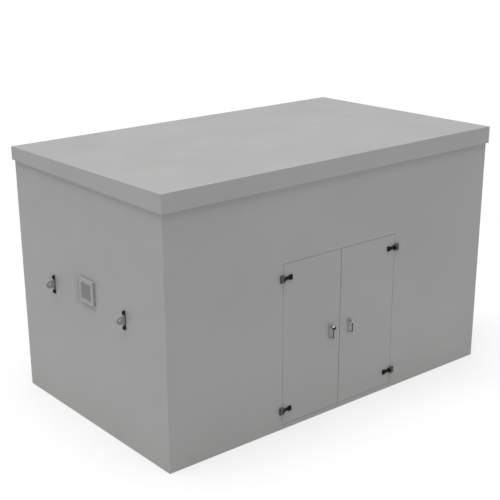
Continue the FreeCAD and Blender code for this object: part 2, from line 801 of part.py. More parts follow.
# End discharge: the same, in front of the radiator's duct.
b = body("outlet")
slab(b, "YZ", HL, HL + 3, rect(rad_y0 - 14, rad_z0 - 14, rad_y1 + 14, rad_z1 + 14),
     rect(rad_y0 + 2, rad_z0 + 2, rad_y1 - 2, rad_z1 - 2))
slab(b, "YZ", HL - 14, HL, rect(rad_y0, rad_z0, rad_y1, rad_z1),
     rect(rad_y0 + 2, rad_z0 + 2, rad_y1 - 2, rad_z1 - 2))
blade = slab(b, "XZ", rad_y0 + 2, rad_y1 - 2,
             ("poly", [(HL - 12, 246), (HL - 10, 246), (HL + 6, 226), (HL + 4, 226)]))
lp = b.newObject("PartDesign::LinearPattern", nm("row"))
lp.Originals = [blade]
lp.Direction = (blade.Profile[0], ["V_Axis"])
lp.Length = 325
lp.Occurrences = 14
b.Tip = lp
node(b, "discharge_louvre")

# ===========================================================================
# Generating set
# ===========================================================================
# Skid: two channels along the length on the cross members.
rails = []
for s in (-1, 1):
    rb = body("skid")
    yo = crank_y + 210 * s
    yi = crank_y + 150 * s
    yw = crank_y + 206 * s
    slab(rb, "YZ", -500, 480,
         ("poly", [(yo, 63), (yi, 63), (yi, 67), (yw, 67), (yw, 109), (yi, 109), (yi, 113), (yo, 113)]))
    rails.append(rb)
node(group(*rails), "skid_rails")

# Rubber mounts with a waist, between skid and feet.
mounts = []
for xc in (-390, 250):
    for s in (-1, 1):
        rb = body("rubber")
        turned(rb, "XZ", [(0, 113), (24, 113), (24, 119), (19, 124), (19, 132), (24, 137), (24, mount_z), (0, mount_z)], "V_Axis")
        c = doc.addObject("Part::Feature", nm("mount"))
        doc.recompute()
        c.Shape = rb.Shape.copy()
        c.Placement = Placement(Vector(xc, crank_y.value + 180 * s, 0), Rotation())
        mounts.append(c)
node(group(*mounts), "av_mounts")

# Engine block: cast crankcase with three bores, journal holes and feet.
b = body("block")
ey0, ey1 = crank_y - 100, crank_y + 100
slab(b, "XY", 170, 370, rect(-60, ey0, 330, ey1))
slab(b, "XY", 165, 318, rect(-40, ey0 + 18, 310, ey1 - 18), remove=True)
slab(b, "XY", 310, 371, *[("circle", x, crank_y, 40) for x in (28, 135, 242)], remove=True)
slab(b, "YZ", -61, 331, ("circle", crank_y, crank_z, shaft_rad + run_gap), remove=True)
for s in (-1, 1):
    y0, y1 = ((crank_y - 205, ey0) if s < 0 else (ey1, crank_y + 205))
    slab(b, "XY", mount_z + 27, mount_z + 39, rect(225, y0, 275, y1))
    slab(b, "XY", mount_z, mount_z + 27, rect(225, *( (y0, 275, y0 + 50) if s < 0 else (y1 - 50, 275, y1))))
slab(b, "XZ", ey0 - 15, ey0, ("circle", 180, 230, 24))
slab(b, "YZ", 330, 345, ("circle", crank_y - 80, 197, 16))
node(b, "engine_block")

# Cylinder head: thermostat neck on top, fan spindle boss on the front.
hb = box(-60, 330, ey0, ey1, 370, 450)
boss = cyl("x", 330, 342, crank_y, fan_z, 30)
fb = cyl("x", 316, 343, crank_y, fan_z, Q.of(12) + run_gap)
neck = cyl("z", 450, 480, 300, crank_y, 22)
port = box(-5, 45, ey1, ey1 + 8, 375, 425)
intake = box(110, 190, ey1, ey1 + 8, 380, 420)
plug = [cyl("x", 331, 331.5, crank_y, fan_z, 1)]
node(cut(fuse(hb, boss, neck, port, intake), fb), "cylinder_head")

# Rocker cover with ribs, rounded upper edges and a filler cap.
b = body("cover")
slab(b, "XY", 450, 505, rect(-50, ey0 + 20, 270, ey1 - 20))
doc.recompute()
last = b.Tip
fl = b.newObject("PartDesign::Fillet", nm("edge"))
fl.Base = (last, ["Edge%d" % i for i, e in enumerate(last.Shape.Edges, 1)
                   if e.BoundBox.ZMin > 504 or e.BoundBox.ZLength > 50])
fl.Radius = 12
b.Tip = fl
cap = cyl("z", 500, 522, 210, crank_y, 24)
node(fuse(b, cap), "rocker_cover")

# Oil sump: open pan under the block with a flange and a drain plug.
b = body("sump")
slab(b, "XY", 164, 170, rect(-50, ey0 + 10, 320, ey1 - 10), rect(-30, ey0 + 26, 300, ey1 - 26))
slab(b, "XY", 90, 164, rect(-34, ey0 + 22, 304, ey1 - 22), rect(-30, ey0 + 26, 300, ey1 - 26))
slab(b, "XY", 86, 90, rect(-34, ey0 + 22, 304, ey1 - 22))
node(fuse(b, cyl("x", 304, 314, crank_y, 100, 10)), "oil_sump")

# Flywheel housing: bell joining block and alternator.
b = body("bell")
slab(b, "YZ", -64, -60, ("circle", crank_y, crank_z, 160), ("circle", crank_y, crank_z, shaft_rad + run_gap))
slab(b, "YZ", -120, -64, ("circle", crank_y, crank_z, 160), ("circle", crank_y, crank_z, 145))
node(b, "flywheel_housing")

# Alternator: thick stator frame with feet, end cover with the rear bearing.
shell = cyl("x", -470, -120, crank_y, crank_z, alt_rad)
feet = [box(-415, -365, crank_y - 205, crank_y + 205, mount_z, mount_z + 10)]
term = box(-330, -190, crank_y - 60, crank_y + 60, crank_z + 120, crank_z + 185)
hollow = cyl("x", -450, -119, crank_y, crank_z, 100)
bear = cyl("x", -471, -449, crank_y, crank_z, shaft_rad + run_gap)
node(cut(fuse(shell, term, *feet), hollow, bear), "alternator_housing")

# Crankshaft with three throws, flywheel and front pulley.
cs = [
    cyl("x", -92, -85, crank_y, crank_z, 110),
    cyl("x", -85, -67, crank_y, crank_z, 130),
    cyl("x", -67, 345, crank_y, crank_z, shaft_rad),
]
for i, xc in enumerate((28, 135, 242)):
    a = math.radians(90 + 120 * i)
    py, pz = crank_y + 34 * round(math.cos(a), 4), crank_z + 34 * round(math.sin(a), 4)
    cs.append(cyl("x", xc - 22, xc + 22, py, pz, 17))
    cs.append(cyl("x", xc - 22, xc - 12, crank_y, crank_z, 58))
    cs.append(cyl("x", xc + 12, xc + 22, crank_y, crank_z, 58))
pul = body("pulley")
turned(pul, "XZ", [(345, 0), (368, 0), (368, 60), (362, 60), (360, 52), (350, 52), (348, 60), (345, 60)], "H_Axis")
doc.recompute()
pf = doc.addObject("Part::Feature", nm("pulley"))
pf.Shape = pul.Shape.copy()
pf.Placement = Placement(Vector(0, crank_y.value, crank_z.value), Rotation())
node(fuse(*cs, pf), "crankshaft")

# Alternator rotor on the same line of shafts.
node(fuse(
    cyl("x", -470, -92, crank_y, crank_z, shaft_rad),
    cyl("x", -410, -200, crank_y, crank_z, 92),
    cyl("x", -440, -418, crank_y, crank_z, 70),
), "alternator_rotor")

# Fan: spindle, pulley, hub and six pitched blades.
pul = body("fanpulley")
turned(pul, "XZ", [(345, 0), (368, 0), (368, 42), (362, 42), (360, 34), (350, 34), (348, 42), (345, 42)], "H_Axis")
doc.recompute()
pf = doc.addObject("Part::Feature", nm("pulley"))
pf.Shape = pul.Shape.copy()
pf.Placement = Placement(Vector(0, crank_y.value, fan_z.value), Rotation())
parts = [pf, cyl("x", 318, 400, crank_y, fan_z, 12), cyl("x", 368, 398, crank_y, fan_z, 44)]
for i in range(6):
    bl = doc.addObject("Part::Box", nm("blade"))
    bl.Length = 4
    bl.Width = 52
    bind(bl, "Height", fan_rad - 44)
    base = Placement(Vector(-2, -26, 40), Rotation())
    pitch = Placement(Vector(0, 0, 0), Rotation(Vector(0, 0, 1), 28))
    turn = Placement(Vector(384, crank_y.value, fan_z.value), Rotation(Vector(1, 0, 0), 60 * i))
    bl.Placement = turn.multiply(pitch).multiply(base)
    parts.append(bl)
node(fuse(*parts), "fan")

# Belt: closed loop round both pulleys, just clear of the grooves.
def loop_face(r1, r2, x):
    z1, z2, y = crank_z.value, fan_z.value, crank_y.value
    d = z2 - z1
    s = (r1 - r2) / d
    c = math.sqrt(1 - s * s)
    a = Vector(x, y + r1 * c, z1 + r1 * s)
    e = Vector(x, y + r2 * c, z2 + r2 * s)
    a2 = Vector(x, y - r1 * c, z1 + r1 * s)
    e2 = Vector(x, y - r2 * c, z2 + r2 * s)
    return Part.Wire([
        Part.LineSegment(a, e).toShape(),
        Part.Arc(e, Vector(x, y, z2 + r2), e2).toShape(),
        Part.LineSegment(e2, a2).toShape(),
        Part.Arc(a2, Vector(x, y, z1 - r1), a).toShape(),
    ])


outer_face = Part.Face(loop_face(58.5, 40.5, 351.0))
inner_face = Part.Face(loop_face(52.5, 34.5, 351.0))
belt = doc.addObject("Part::Feature", nm("belt"))
belt.Shape = outer_face.cut(inner_face).extrude(Vector(8, 0, 0)).Solids[0]
node(belt, "drive_belt")

# Starter motor with its solenoid and terminal stud.
node(fuse(
    cyl("x", -60, 80, crank_y - 150, crank_z + 50, 34),
    cyl("x", -50, 40, crank_y - 150, crank_z + 96, 18),
    box(-50, -20, crank_y - 158, crank_y - 142, crank_z + 60, crank_z + 96),
    cyl("y", crank_y - 196, crank_y - 180, 40, crank_z + 50, 6),
), "starter_motor")

# Radiator: core, top and bottom tanks, hose necks, filler cap.
core = body("core")
slab(core, "YZ", 475, 525, rect(rad_y0, rad_z0, rad_y1, rad_z1))
g = slab(core, "YZ", 474, 478, rect(rad_y0 + 8, rad_z0 + 8, rad_y1 - 8, rad_z0 + 11), remove=True)
lp = core.newObject("PartDesign::LinearPattern", nm("row"))
lp.Originals = [g]
lp.Direction = (g.Profile[0], ["V_Axis"])
lp.Length = 336
lp.Occurrences = 43
core.Tip = lp
node(fuse(
    core,
    box(470, 530, rad_y0, rad_y1, rad_z1, rad_z1 + 45),
    box(470, 530, rad_y0, rad_y1, rad_z0 - 45, rad_z0),
    cyl("x", 445, 470, crank_y, rad_z1 + 24, 18),
    cyl("x", 445, 470, crank_y - 80, 197, 16),
    cyl("z", rad_z1 + 45, rad_z1 + 62, 500, 130, 22),
), "radiator")

# Fan shroud: box to the core, ring round the blades.
sh = cut(
    fuse(box(408, 475, rad_y0, rad_y1, rad_z0, rad_z1),
         cyl("x", 378, 408, crank_y, fan_z, 168)),
    box(410, 476, rad_y0 + 2, rad_y1 - 2, rad_z0 + 2, rad_z1 - 2),
    cyl("x", 377, 411, crank_y, fan_z, 163),
)
node(sh, "fan_shroud")

# Duct from the radiator to the end louvre.
node(cut(
    box(530, HL - 14, rad_y0, rad_y1, rad_z0, rad_z1),
    box(529, HL - 13, rad_y0 + 2, rad_y1 - 2, rad_z0 + 2, rad_z1 - 2),
), "discharge_duct")

# Muffler with dished ends and its stand on the alternator.
b = body("muffler")
turned(b, "XZ", [(-440, 0), (-440, 40), (-432, 66), (-420, muff_rad), (-80, muff_rad), (-68, 66), (-60, 40), (-60, 0)], "H_Axis")
doc.recompute()
mf = doc.addObject("Part::Feature", nm("can"))
mf.Shape = b.Shape.copy()
mf.Placement = Placement(Vector(0, muff_y.value, muff_z.value), Rotation())
legs = []
for x0 in (-420, -150):
    lb = body("leg")
    slab(lb, "YZ", x0, x0 + 5, ("poly", [(70, 390), (125, 360), (235, 614), (165, 614)]))
    legs.append(lb)
node(cut(fuse(mf, *legs), cyl("x", -471, -119, crank_y, crank_z, alt_rad)), "muffler")

# Exhaust: manifold pipe from the head into the muffler, tail pipe to the rear.
man = pipe([(20, ey1 + 8, 400), (20, muff_y, 400), (20, muff_y, muff_z), (-60, muff_y, muff_z)], pipe_rad, 30)
tail = cyl("y", 274, HD + 7, -360, muff_z, pipe_rad)
tb = cut(tail, cyl("y", 300, HD + 8, -360, muff_z, pipe_rad - 2),
         cyl("x", -440, -60, muff_y, muff_z, muff_rad))
node(group(man, tb), "exhaust_pipe")

# Air cleaner canister and its elbow to the head.
node(cut(
    fuse(cyl("x", 60, 260, 218, 480, 55), box(110, 190, ey1 + 8, 215, 385, 415),
         box(120, 180, 180, 240, 400, 470)),
    cyl("x", 250, 261, 218, 480, 30),
), "air_cleaner")

# Spin-on oil filter.
b = body("filter")
turned(b, "XZ", [(0, 0), (0, 76), (34, 76), (38, 72), (38, 6), (34, 0)], "V_Axis")
doc.recompute()
ff = doc.addObject("Part::Feature", nm("can"))
ff.Shape = b.Shape.copy()
ff.Placement = Placement(Vector(180, ey0.value - 15, 230), Rotation(Vector(1, 0, 0), 90))
node(ff, "oil_filter")

# Starter battery with two posts.
case = rounded(box(bat_x0, bat_x1, bat_y0, bat_y1, tray, bat_hgt + tray), 5, along("z"))
by = (bat_y0 + bat_y1) / 2
node(fuse(case, cyl("z", bat_hgt + tray, bat_hgt + tray + 15, -220, by, 9),
          cyl("z", bat_hgt + tray, bat_hgt + tray + 15, -110, by, 9)), "battery")

# Battery cables, lugs included: positive to the starter, negative to the skid.
cab = Q.of(4.5)
pz = bat_hgt + tray + 15
c1 = pipe([(-110, by, pz), (-110, by, 300), (40, by, 300), (40, crank_y - 196, 300)], cab, None)
c2 = pipe([(-220, by, pz), (-220, by, 275), (-220, crank_y - 180, 275), (-220, crank_y - 180, 113)], cab, None)
node(group(c1, c2), "battery_cables")

# Coolant hoses between engine and radiator.
h1 = pipe([(300, crank_y, 480), (300, crank_y, rad_z1 + 24), (445, crank_y, rad_z1 + 24)], Q.of(20), None)
h2 = cyl("x", 345, 445, crank_y - 80, 197, 18)
node(group(h1, h2), "coolant_hoses")

# Control box on two posts, with display recess, breaker slot and stop button bore.
cb = box(ctl_x0, ctl_x1, ctl_y0, ctl_y0 + 98, ctl_z0, ctl_z1)
posts = [box(ctl_x0, ctl_x0 + 30, ctl_y0 + 98, ctl_y0 + 126, tray, ctl_z1),
         box(ctl_x1 - 30, ctl_x1, ctl_y0 + 98, ctl_y0 + 126, tray, ctl_z1)]
disp = box(-245, -135, ctl_y0 - 1, ctl_y0 + 3, 545, 615)
slot = box(-70, -50, ctl_y0 - 1, ctl_y0 + 26, 500, 560)
stopb = cyl("y", ctl_y0 - 1, ctl_y0 + 40, -190, 490, Q.of(8) + run_gap)
pin = cyl("x", -71, -49, ctl_y0 + 14, 530, 2)
node(fuse(cut(fuse(cb, *posts), disp, slot, stopb), pin), "control_box")

# Emergency stop: mushroom head on a sliding stem.
node(fuse(
    cyl("y", ctl_y0 - 10, ctl_y0 + 30, -190, 490, 8),
    cyl("y", ctl_y0 - 22, ctl_y0 - 10, -190, 490, 20),
), "emergency_stop")

# Main breaker lever, pivoted in its slot; drawn in the off position, tip down.
hub = cyl("x", -68, -52, ctl_y0 + 14, 530, 8)
arm = doc.addObject("Part::Box", nm("arm"))
arm.Length = 12
arm.Width = 44
arm.Height = 8
arm.Placement = Placement(Vector(-66, ctl_y0.value + 14, 530), Rotation(Vector(1, 0, 0), 25)).multiply(
    Placement(Vector(0, -44, -4), Rotation()))
node(cut(fuse(hub, arm), cyl("x", -69, -51, ctl_y0 + 14, 530, Q.of(2) + run_gap)), "main_breaker_lever")

# ===========================================================================
# Check and write
# ===========================================================================
doc.recompute()
bad = [o.Name + " " + o.Label for o in doc.Objects
       if any(w in o.State for w in ("Invalid", "Error"))]
if bad:
    raise SystemExit("failed objects: " + ", ".join(bad))
for o in nodes:
    sh_ = o.Shape
    if sh_.isNull() or not sh_.isValid() or not sh_.Solids:
        raise SystemExit("bad shape: " + o.Label)
labels = [o.Label for o in nodes]
if len(set(labels)) != len(labels) or len(labels) > 60:
    raise SystemExit("%d nodes, %d names" % (len(labels), len(set(labels))))
for o in nodes:
    o.Shape.exportStep("parts/%s.step" % o.Label)
print("%d nodes, %d objects" % (len(nodes), len(doc.Objects)))
for o in nodes:
    q = o.Shape.BoundBox
    print("%-22s %2d solids  x %.1f %.1f  y %.1f %.1f  z %.1f %.1f  vol %.0f" % (
        o.Label, len(o.Shape.Solids), q.XMin, q.XMax, q.YMin, q.YMax, q.ZMin, q.ZMax, o.Shape.Volume))
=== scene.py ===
import json
import math

import bmesh
import bpy
from mathutils import Matrix, Vector


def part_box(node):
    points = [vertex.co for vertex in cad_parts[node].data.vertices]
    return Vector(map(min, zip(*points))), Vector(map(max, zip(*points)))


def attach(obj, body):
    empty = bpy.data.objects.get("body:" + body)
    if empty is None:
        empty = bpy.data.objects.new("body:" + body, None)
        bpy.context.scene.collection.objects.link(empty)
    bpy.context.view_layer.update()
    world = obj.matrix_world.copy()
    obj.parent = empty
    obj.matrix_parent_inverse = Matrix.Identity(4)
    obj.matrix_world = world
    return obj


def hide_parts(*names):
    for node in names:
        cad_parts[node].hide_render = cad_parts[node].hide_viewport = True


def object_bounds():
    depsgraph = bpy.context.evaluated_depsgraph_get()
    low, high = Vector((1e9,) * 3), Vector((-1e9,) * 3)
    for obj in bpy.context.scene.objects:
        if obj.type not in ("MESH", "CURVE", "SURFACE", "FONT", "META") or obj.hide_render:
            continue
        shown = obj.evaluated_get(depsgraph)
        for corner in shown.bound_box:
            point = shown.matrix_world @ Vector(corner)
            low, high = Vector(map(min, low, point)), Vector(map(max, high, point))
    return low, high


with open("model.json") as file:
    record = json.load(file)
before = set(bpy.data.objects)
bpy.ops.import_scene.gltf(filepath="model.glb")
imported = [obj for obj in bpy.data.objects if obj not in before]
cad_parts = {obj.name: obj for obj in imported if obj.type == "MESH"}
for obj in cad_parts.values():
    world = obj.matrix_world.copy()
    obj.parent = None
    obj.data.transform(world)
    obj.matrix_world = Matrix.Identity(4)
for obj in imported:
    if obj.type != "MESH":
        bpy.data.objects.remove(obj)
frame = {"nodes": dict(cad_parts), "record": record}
N = frame["nodes"]
CAD_BOX = [list(map(float, v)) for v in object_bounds()]
scene = bpy.context.scene

# ---------------------------------------------------------------------------
# Camera
# ---------------------------------------------------------------------------
cam_data = bpy.data.cameras.new("view")
cam_data.sensor_width = 36.0
cam_data.lens = 78.18
cam_data.shift_x = -0.0206
cam_data.shift_y = 0.0659
cam_data.clip_end = 200.0
cam = bpy.data.objects.new("view", cam_data)
scene.collection.objects.link(cam)
cam.location = (-2.68277, -3.20972, 1.89635)
forward = Vector((0.6046, 0.7201, -0.3404)).normalized()
right = forward.cross(Vector((0, 0, 1))).normalized()
up = right.cross(forward).normalized()
cam.matrix_world = Matrix((
    (right.x, up.x, -forward.x, cam.location.x),
    (right.y, up.y, -forward.y, cam.location.y),
    (right.z, up.z, -forward.z, cam.location.z),
    (0, 0, 0, 1),
))
scene.camera = cam

# ---------------------------------------------------------------------------
# Light
# ---------------------------------------------------------------------------
scene.view_settings.view_transform = "Standard"
scene.view_settings.look = "None"
scene.view_settings.exposure = 0.0
scene.view_settings.gamma = 1.0
world = bpy.data.worlds.new("studio")
scene.world = world
world.use_nodes = True
bg = world.node_tree.nodes["Background"]
bg.inputs["Color"].default_value = (1.0, 1.0, 1.0, 1.0)
bg.inputs["Strength"].default_value = 0.25


def sun(name, towards, strength, angle):
    d = bpy.data.lights.new(name, "SUN")
    d.energy = strength
    d.angle = math.radians(angle)
    o = bpy.data.objects.new(name, d)
    scene.collection.objects.link(o)
    o.rotation_mode = "QUATERNION"
    o.rotation_quaternion = Vector(towards).to_track_quat("Z", "Y")
    return o


sun("key", (-0.115, -0.02, 0.99), 3.82, 50)


# ---------------------------------------------------------------------------
# Materials
# ---------------------------------------------------------------------------
class Mat:
    def __init__(self, name):
        self.m = bpy.data.materials.new(name)
        self.m.use_nodes = True
        self.t = self.m.node_tree
        self.b = self.t.nodes["Principled BSDF"]
        self.co = self.t.nodes.new("ShaderNodeTexCoord").outputs["Object"]
        self.bump_in = None

    def node(self, kind, **values):
        n = self.t.nodes.new(kind)
        for k, v in values.items():
            if k in n.inputs:
                n.inputs[k].default_value = v
            else:
                setattr(n, k, v)
        return n

    def link(self, a, b):
        self.t.links.new(a, b)

    def mapped(self, scale=(1, 1, 1), rot=(0, 0, 0)):
        n = self.node("ShaderNodeMapping")
        n.inputs["Scale"].default_value = scale
        n.inputs["Rotation"].default_value = rot
        self.link(self.co, n.inputs["Vector"])
        return n.outputs["Vector"]

    def noise(self, scale, detail=3.0, rough=0.5, vec=None, distortion=0.0):
        n = self.node("ShaderNodeTexNoise")
        n.inputs["Scale"].default_value = scale
        n.inputs["Detail"].default_value = detail
        n.inputs["Roughness"].default_value = rough
        n.inputs["Distortion"].default_value = distortion
        self.link(vec if vec is not None else self.co, n.inputs["Vector"])
        return n.outputs["Fac"]

    def voronoi(self, scale, feature="F1", vec=None, rand=1.0):
        n = self.node("ShaderNodeTexVoronoi")
        n.feature = feature
        n.inputs["Scale"].default_value = scale
        n.inputs["Randomness"].default_value = rand
        self.link(vec if vec is not None else self.co, n.inputs["Vector"])
        return n.outputs["Distance"]

    def ramp(self, fac, stops, interp="LINEAR"):
        n = self.node("ShaderNodeValToRGB")
        r = n.color_ramp
        r.interpolation = interp
        while len(r.elements) < len(stops):
            r.elements.new(0.5)
        for e, (p, c) in zip(r.elements, stops):
            e.position = p
            e.color = (*c, 1.0) if len(c) == 3 else c
        self.link(fac, n.inputs["Fac"])
        return n.outputs["Color"]

    def span(self, fac, lo, hi, a=0.0, b=1.0):
        n = self.node("ShaderNodeMapRange")
        n.inputs["From Min"].default_value = lo
        n.inputs["From Max"].default_value = hi
        n.inputs["To Min"].default_value = a
        n.inputs["To Max"].default_value = b
        self.link(fac, n.inputs["Value"])
        return n.outputs["Result"]

    def mix(self, fac, a, b, mode="MIX"):
        n = self.node("ShaderNodeMix")
        n.data_type = "RGBA"
        n.blend_type = mode
        for sock, v in ((n.inputs["Factor"], fac), (n.inputs[6], a), (n.inputs[7], b)):
            if isinstance(v, (int, float)):
                sock.default_value = v
            elif isinstance(v, tuple):
                sock.default_value = (*v, 1.0) if len(v) == 3 else v
            else:
                self.link(v, sock)
        return n.outputs[2]

    def math(self, op, a, b=0.0):
        n = self.node("ShaderNodeMath")
        n.operation = op
        for sock, v in ((n.inputs[0], a), (n.inputs[1], b)):
            if isinstance(v, (int, float)):
                sock.default_value = v
            else:
                self.link(v, sock)
        return n.outputs[0]

    def axis(self, which):
        n = self.node("ShaderNodeSeparateXYZ")
        self.link(self.co, n.inputs[0])
        return n.outputs[which]

    def colour(self, c):
        if isinstance(c, tuple):
            self.b.inputs["Base Color"].default_value = (*c, 1.0)
        else:
            self.link(c, self.b.inputs["Base Color"])

    def rough(self, v):
        if isinstance(v, (int, float)):
            self.b.inputs["Roughness"].default_value = v
        else:
            self.link(v, self.b.inputs["Roughness"])

    def metal(self, v):
        self.b.inputs["Metallic"].default_value = v

    def bump(self, height, strength, dist):
        n = self.node("ShaderNodeBump")
        n.inputs["Strength"].default_value = strength
        n.inputs["Distance"].default_value = dist
        self.link(height, n.inputs["Height"])
        if self.bump_in is not None:
            self.link(self.bump_in, n.inputs["Normal"])
        self.bump_in = n.outputs["Normal"]
        self.link(self.bump_in, self.b.inputs["Normal"])


def scaled(c, k):
    return tuple(min(1.0, x * k) for x in c)


def paint(name, c, rough=0.42, grain=650.0, grain_strength=0.12, vary=0.035, spec=0.5, dust=0.0, vent=False):
    """Powder coat: orange peel, a slow change of tone, a little dust low down."""
    m = Mat(name)
    slow = m.noise(2.3, 4.0, 0.55)
    base = m.ramp(slow, [(0.3, scaled(c, 1 - vary)), (0.7, scaled(c, 1 + vary))])
    fine = m.noise(grain, 2.0, 0.5)
    base = m.mix(m.span(fine, 0.35, 0.7, 0.0, 0.06), base, scaled(c, 0.72))
    if dust:
        low = m.math("MULTIPLY", m.span(m.axis("Z"), 0.0, 0.22, 1.0, 0.0), m.noise(16.0, 5.0, 0.65))
        base = m.mix(m.math("MULTIPLY", low, dust), base, (0.26, 0.24, 0.21))
    if vent:
        # painted shade: a dark band beside and under the vent frame on the left end, standing in for occlusion at the
        # frame's edges
        dy = m.math("SUBTRACT", m.math("ABSOLUTE", m.math("SUBTRACT", m.axis("Y"), 0.0200)), 0.0485)
        dz = m.math("SUBTRACT", m.math("ABSOLUTE", m.math("SUBTRACT", m.axis("Z"), 0.52725)), 0.03575)
        near = m.span(m.math("MAXIMUM", dy, dz), -0.010, 0.030, 0.29, 0.0)
        end = m.span(m.axis("X"), -0.799, -0.797, 1.0, 0.0)
        base = m.mix(m.math("MULTIPLY", near, end), base, (0.03, 0.03, 0.03))
    m.colour(base)
    m.rough(m.span(m.noise(5.0, 4.0, 0.6), 0.3, 0.7, rough - 0.05, rough + 0.06))
    m.b.inputs["Specular IOR Level"].default_value = spec
    m.bump(m.noise(grain, 2.0, 0.5), grain_strength, 0.0004)
    return m.m


def metal(name, c, rough=0.3, streak=(1, 1, 1), scale=90.0, strength=0.1, vary=0.12):
    m = Mat(name)
    v = m.mapped(streak)
    n = m.noise(scale, 5.0, 0.6, v)
    m.colour(m.ramp(n, [(0.3, scaled(c, 1 - vary)), (0.72, scaled(c, 1 + vary))]))
    m.metal(1.0)
    m.rough(m.span(m.noise(scale * 0.4, 4.0, 0.6, v), 0.3, 0.7, max(0.03, rough - 0.08), rough + 0.1))
    m.bump(n, strength, 0.0003)
    return m.m


def casting(name, c, rough=0.55, metallic=0.0, grain=170.0, strength=0.5, grime=0.35):
    m = Mat(name)
    slow = m.noise(9.0, 5.0, 0.6)
    base = m.ramp(slow, [(0.3, scaled(c, 0.82)), (0.7, scaled(c, 1.12))])
    dirt = m.span(m.noise(22.0, 6.0, 0.7), 0.5, 0.75, 0.0, grime)
    m.colour(m.mix(dirt, base, scaled(c, 0.35)))
    m.metal(metallic)
    m.rough(m.span(m.noise(30.0, 4.0, 0.6), 0.3, 0.7, rough - 0.1, rough + 0.12))
    m.bump(m.voronoi(grain), strength * 0.3, 0.0006)
    m.bump(m.noise(grain * 1.7, 4.0, 0.6), strength, 0.0008)
    return m.m


def rubber(name, c=(0.022, 0.022, 0.023), rough=0.62, grain=500.0):
    m = Mat(name)
    n = m.noise(grain, 3.0, 0.6)
    m.colour(m.ramp(m.noise(20.0, 4.0, 0.6), [(0.3, scaled(c, 0.8)), (0.7, scaled(c, 1.6))]))
    m.rough(m.span(m.noise(60.0, 3.0, 0.5), 0.3, 0.7, rough - 0.08, rough + 0.1))
    m.bump(n, 0.25, 0.0003)
    return m.m


def plastic(name, c, rough=0.45, grain=900.0, strength=0.18, coat=0.0):
    m = Mat(name)
    m.colour(m.ramp(m.noise(14.0, 4.0, 0.6), [(0.3, scaled(c, 0.9)), (0.7, scaled(c, 1.12))]))
    m.rough(m.span(m.noise(40.0, 4.0, 0.5), 0.3, 0.7, rough - 0.06, rough + 0.07))
    m.b.inputs["Coat Weight"].default_value = coat
    m.bump(m.voronoi(grain), strength, 0.00025)
    return m.m


def rod(name, light, bar_dark_reflection, corner):
    """Zinc rod; the hand bar is painted near-black as a painted dark reflection, the top corner carries a painted
    highlight, the lock head's underside a painted dark reflection, and the front face is black.
    """
    m = Mat(name)
    y, z = m.axis("Y"), m.axis("Z")
    front = m.span(y, -0.4990, -0.4980, 1.0, 0.0)
    low = m.span(z, 0.3490, 0.3500, 1.0, 0.0)
    high = m.span(z, 0.3490, 0.3500, 0.0, 1.0)
    wear = m.noise(500.0, 3.0, 0.6)
    base = m.ramp(wear, [(0.3, scaled(light, 0.9)), (0.7, scaled(light, 1.1))])
    # painted dark reflection: the hand bar (front, below the top corner) is painted near-black
    base = m.mix(m.math("MULTIPLY", front, low), base, bar_dark_reflection)
    # painted highlight: the top corner of the rod, and the top of the lock head, get the bright third colour
    base = m.mix(m.math("MULTIPLY", front, high), base, corner)
    left = m.span(m.axis("X"), -0.001, 0.001, 1.0, 0.0)
    # painted dark reflection: the lower half of the left handle's lock head is painted near-black
    under = m.math("MULTIPLY", left, m.span(z, 0.3552, 0.3560, 1.0, 0.0))
    under = m.math("MULTIPLY", under, m.math("MULTIPLY", front, high))
    # black holds both the painted dark reflection under the lock head and the real black front face
    black = m.math("MAXIMUM", under, m.span(y, -0.5087, -0.5083, 1.0, 0.0))
    m.colour(m.mix(black, base, (0.004, 0.004, 0.004)))
    m.rough(m.span(black, 0.0, 1.0, 0.28, 0.7))
    m.link(m.span(black, 0.0, 1.0, 0.35, 0.02), m.b.inputs["Specular IOR Level"])
    m.bump(wear, 0.05, 0.0002)
    return m.m


def barrel(name, c):
    """Plated barrel with a black key face."""
    m = Mat(name)
    y = m.axis("Y")
    face = m.span(y, -0.5097, -0.5094, 1.0, 0.0)
    m.colour(m.mix(face, scaled(c, 1.0), (0.006, 0.006, 0.006)))
    m.link(m.span(y, -0.5097, -0.5094, 0.0, 0.8), m.b.inputs["Metallic"])
    m.rough(m.span(y, -0.5097, -0.5094, 0.6, 0.15))
    m.link(m.span(y, -0.5097, -0.5094, 0.03, 0.5), m.b.inputs["Specular IOR Level"])
    m.bump(m.noise(300.0, 3.0, 0.5), 0.03, 0.0002)
    return m.m


def foam(name):
    m = Mat(name)
    cells = m.voronoi(420.0)
    m.colour(m.ramp(cells, [(0.1, (0.035, 0.035, 0.037)), (0.5, (0.10, 0.10, 0.104))]))
    m.rough(0.95)
    m.b.inputs["Specular IOR Level"].default_value = 0.15
    m.b.inputs["Sheen Weight"].default_value = 0.15
    m.bump(cells, 0.8, 0.0015)
    m.bump(m.noise(900.0, 3.0, 0.6), 0.5, 0.0005)
    return m.m


def exhaust(name):
    m = Mat(name)
    heat = m.noise(7.0, 4.0, 0.6)
    base = m.ramp(heat, [(0.25, (0.36, 0.33, 0.30)), (0.5, (0.42, 0.36, 0.28)), (0.66, (0.30, 0.22, 0.17)), (0.8, (0.20, 0.19, 0.22))])
    m.colour(m.mix(m.span(m.noise(120.0, 5.0, 0.7), 0.55, 0.8, 0.0, 0.4), base, (0.16, 0.09, 0.05)))
    m.metal(0.85)
    m.rough(m.span(m.noise(35.0, 5.0, 0.6), 0.3, 0.7, 0.38, 0.62))
    m.bump(m.noise(300.0, 5.0, 0.7), 0.2, 0.0005)
    return m.m


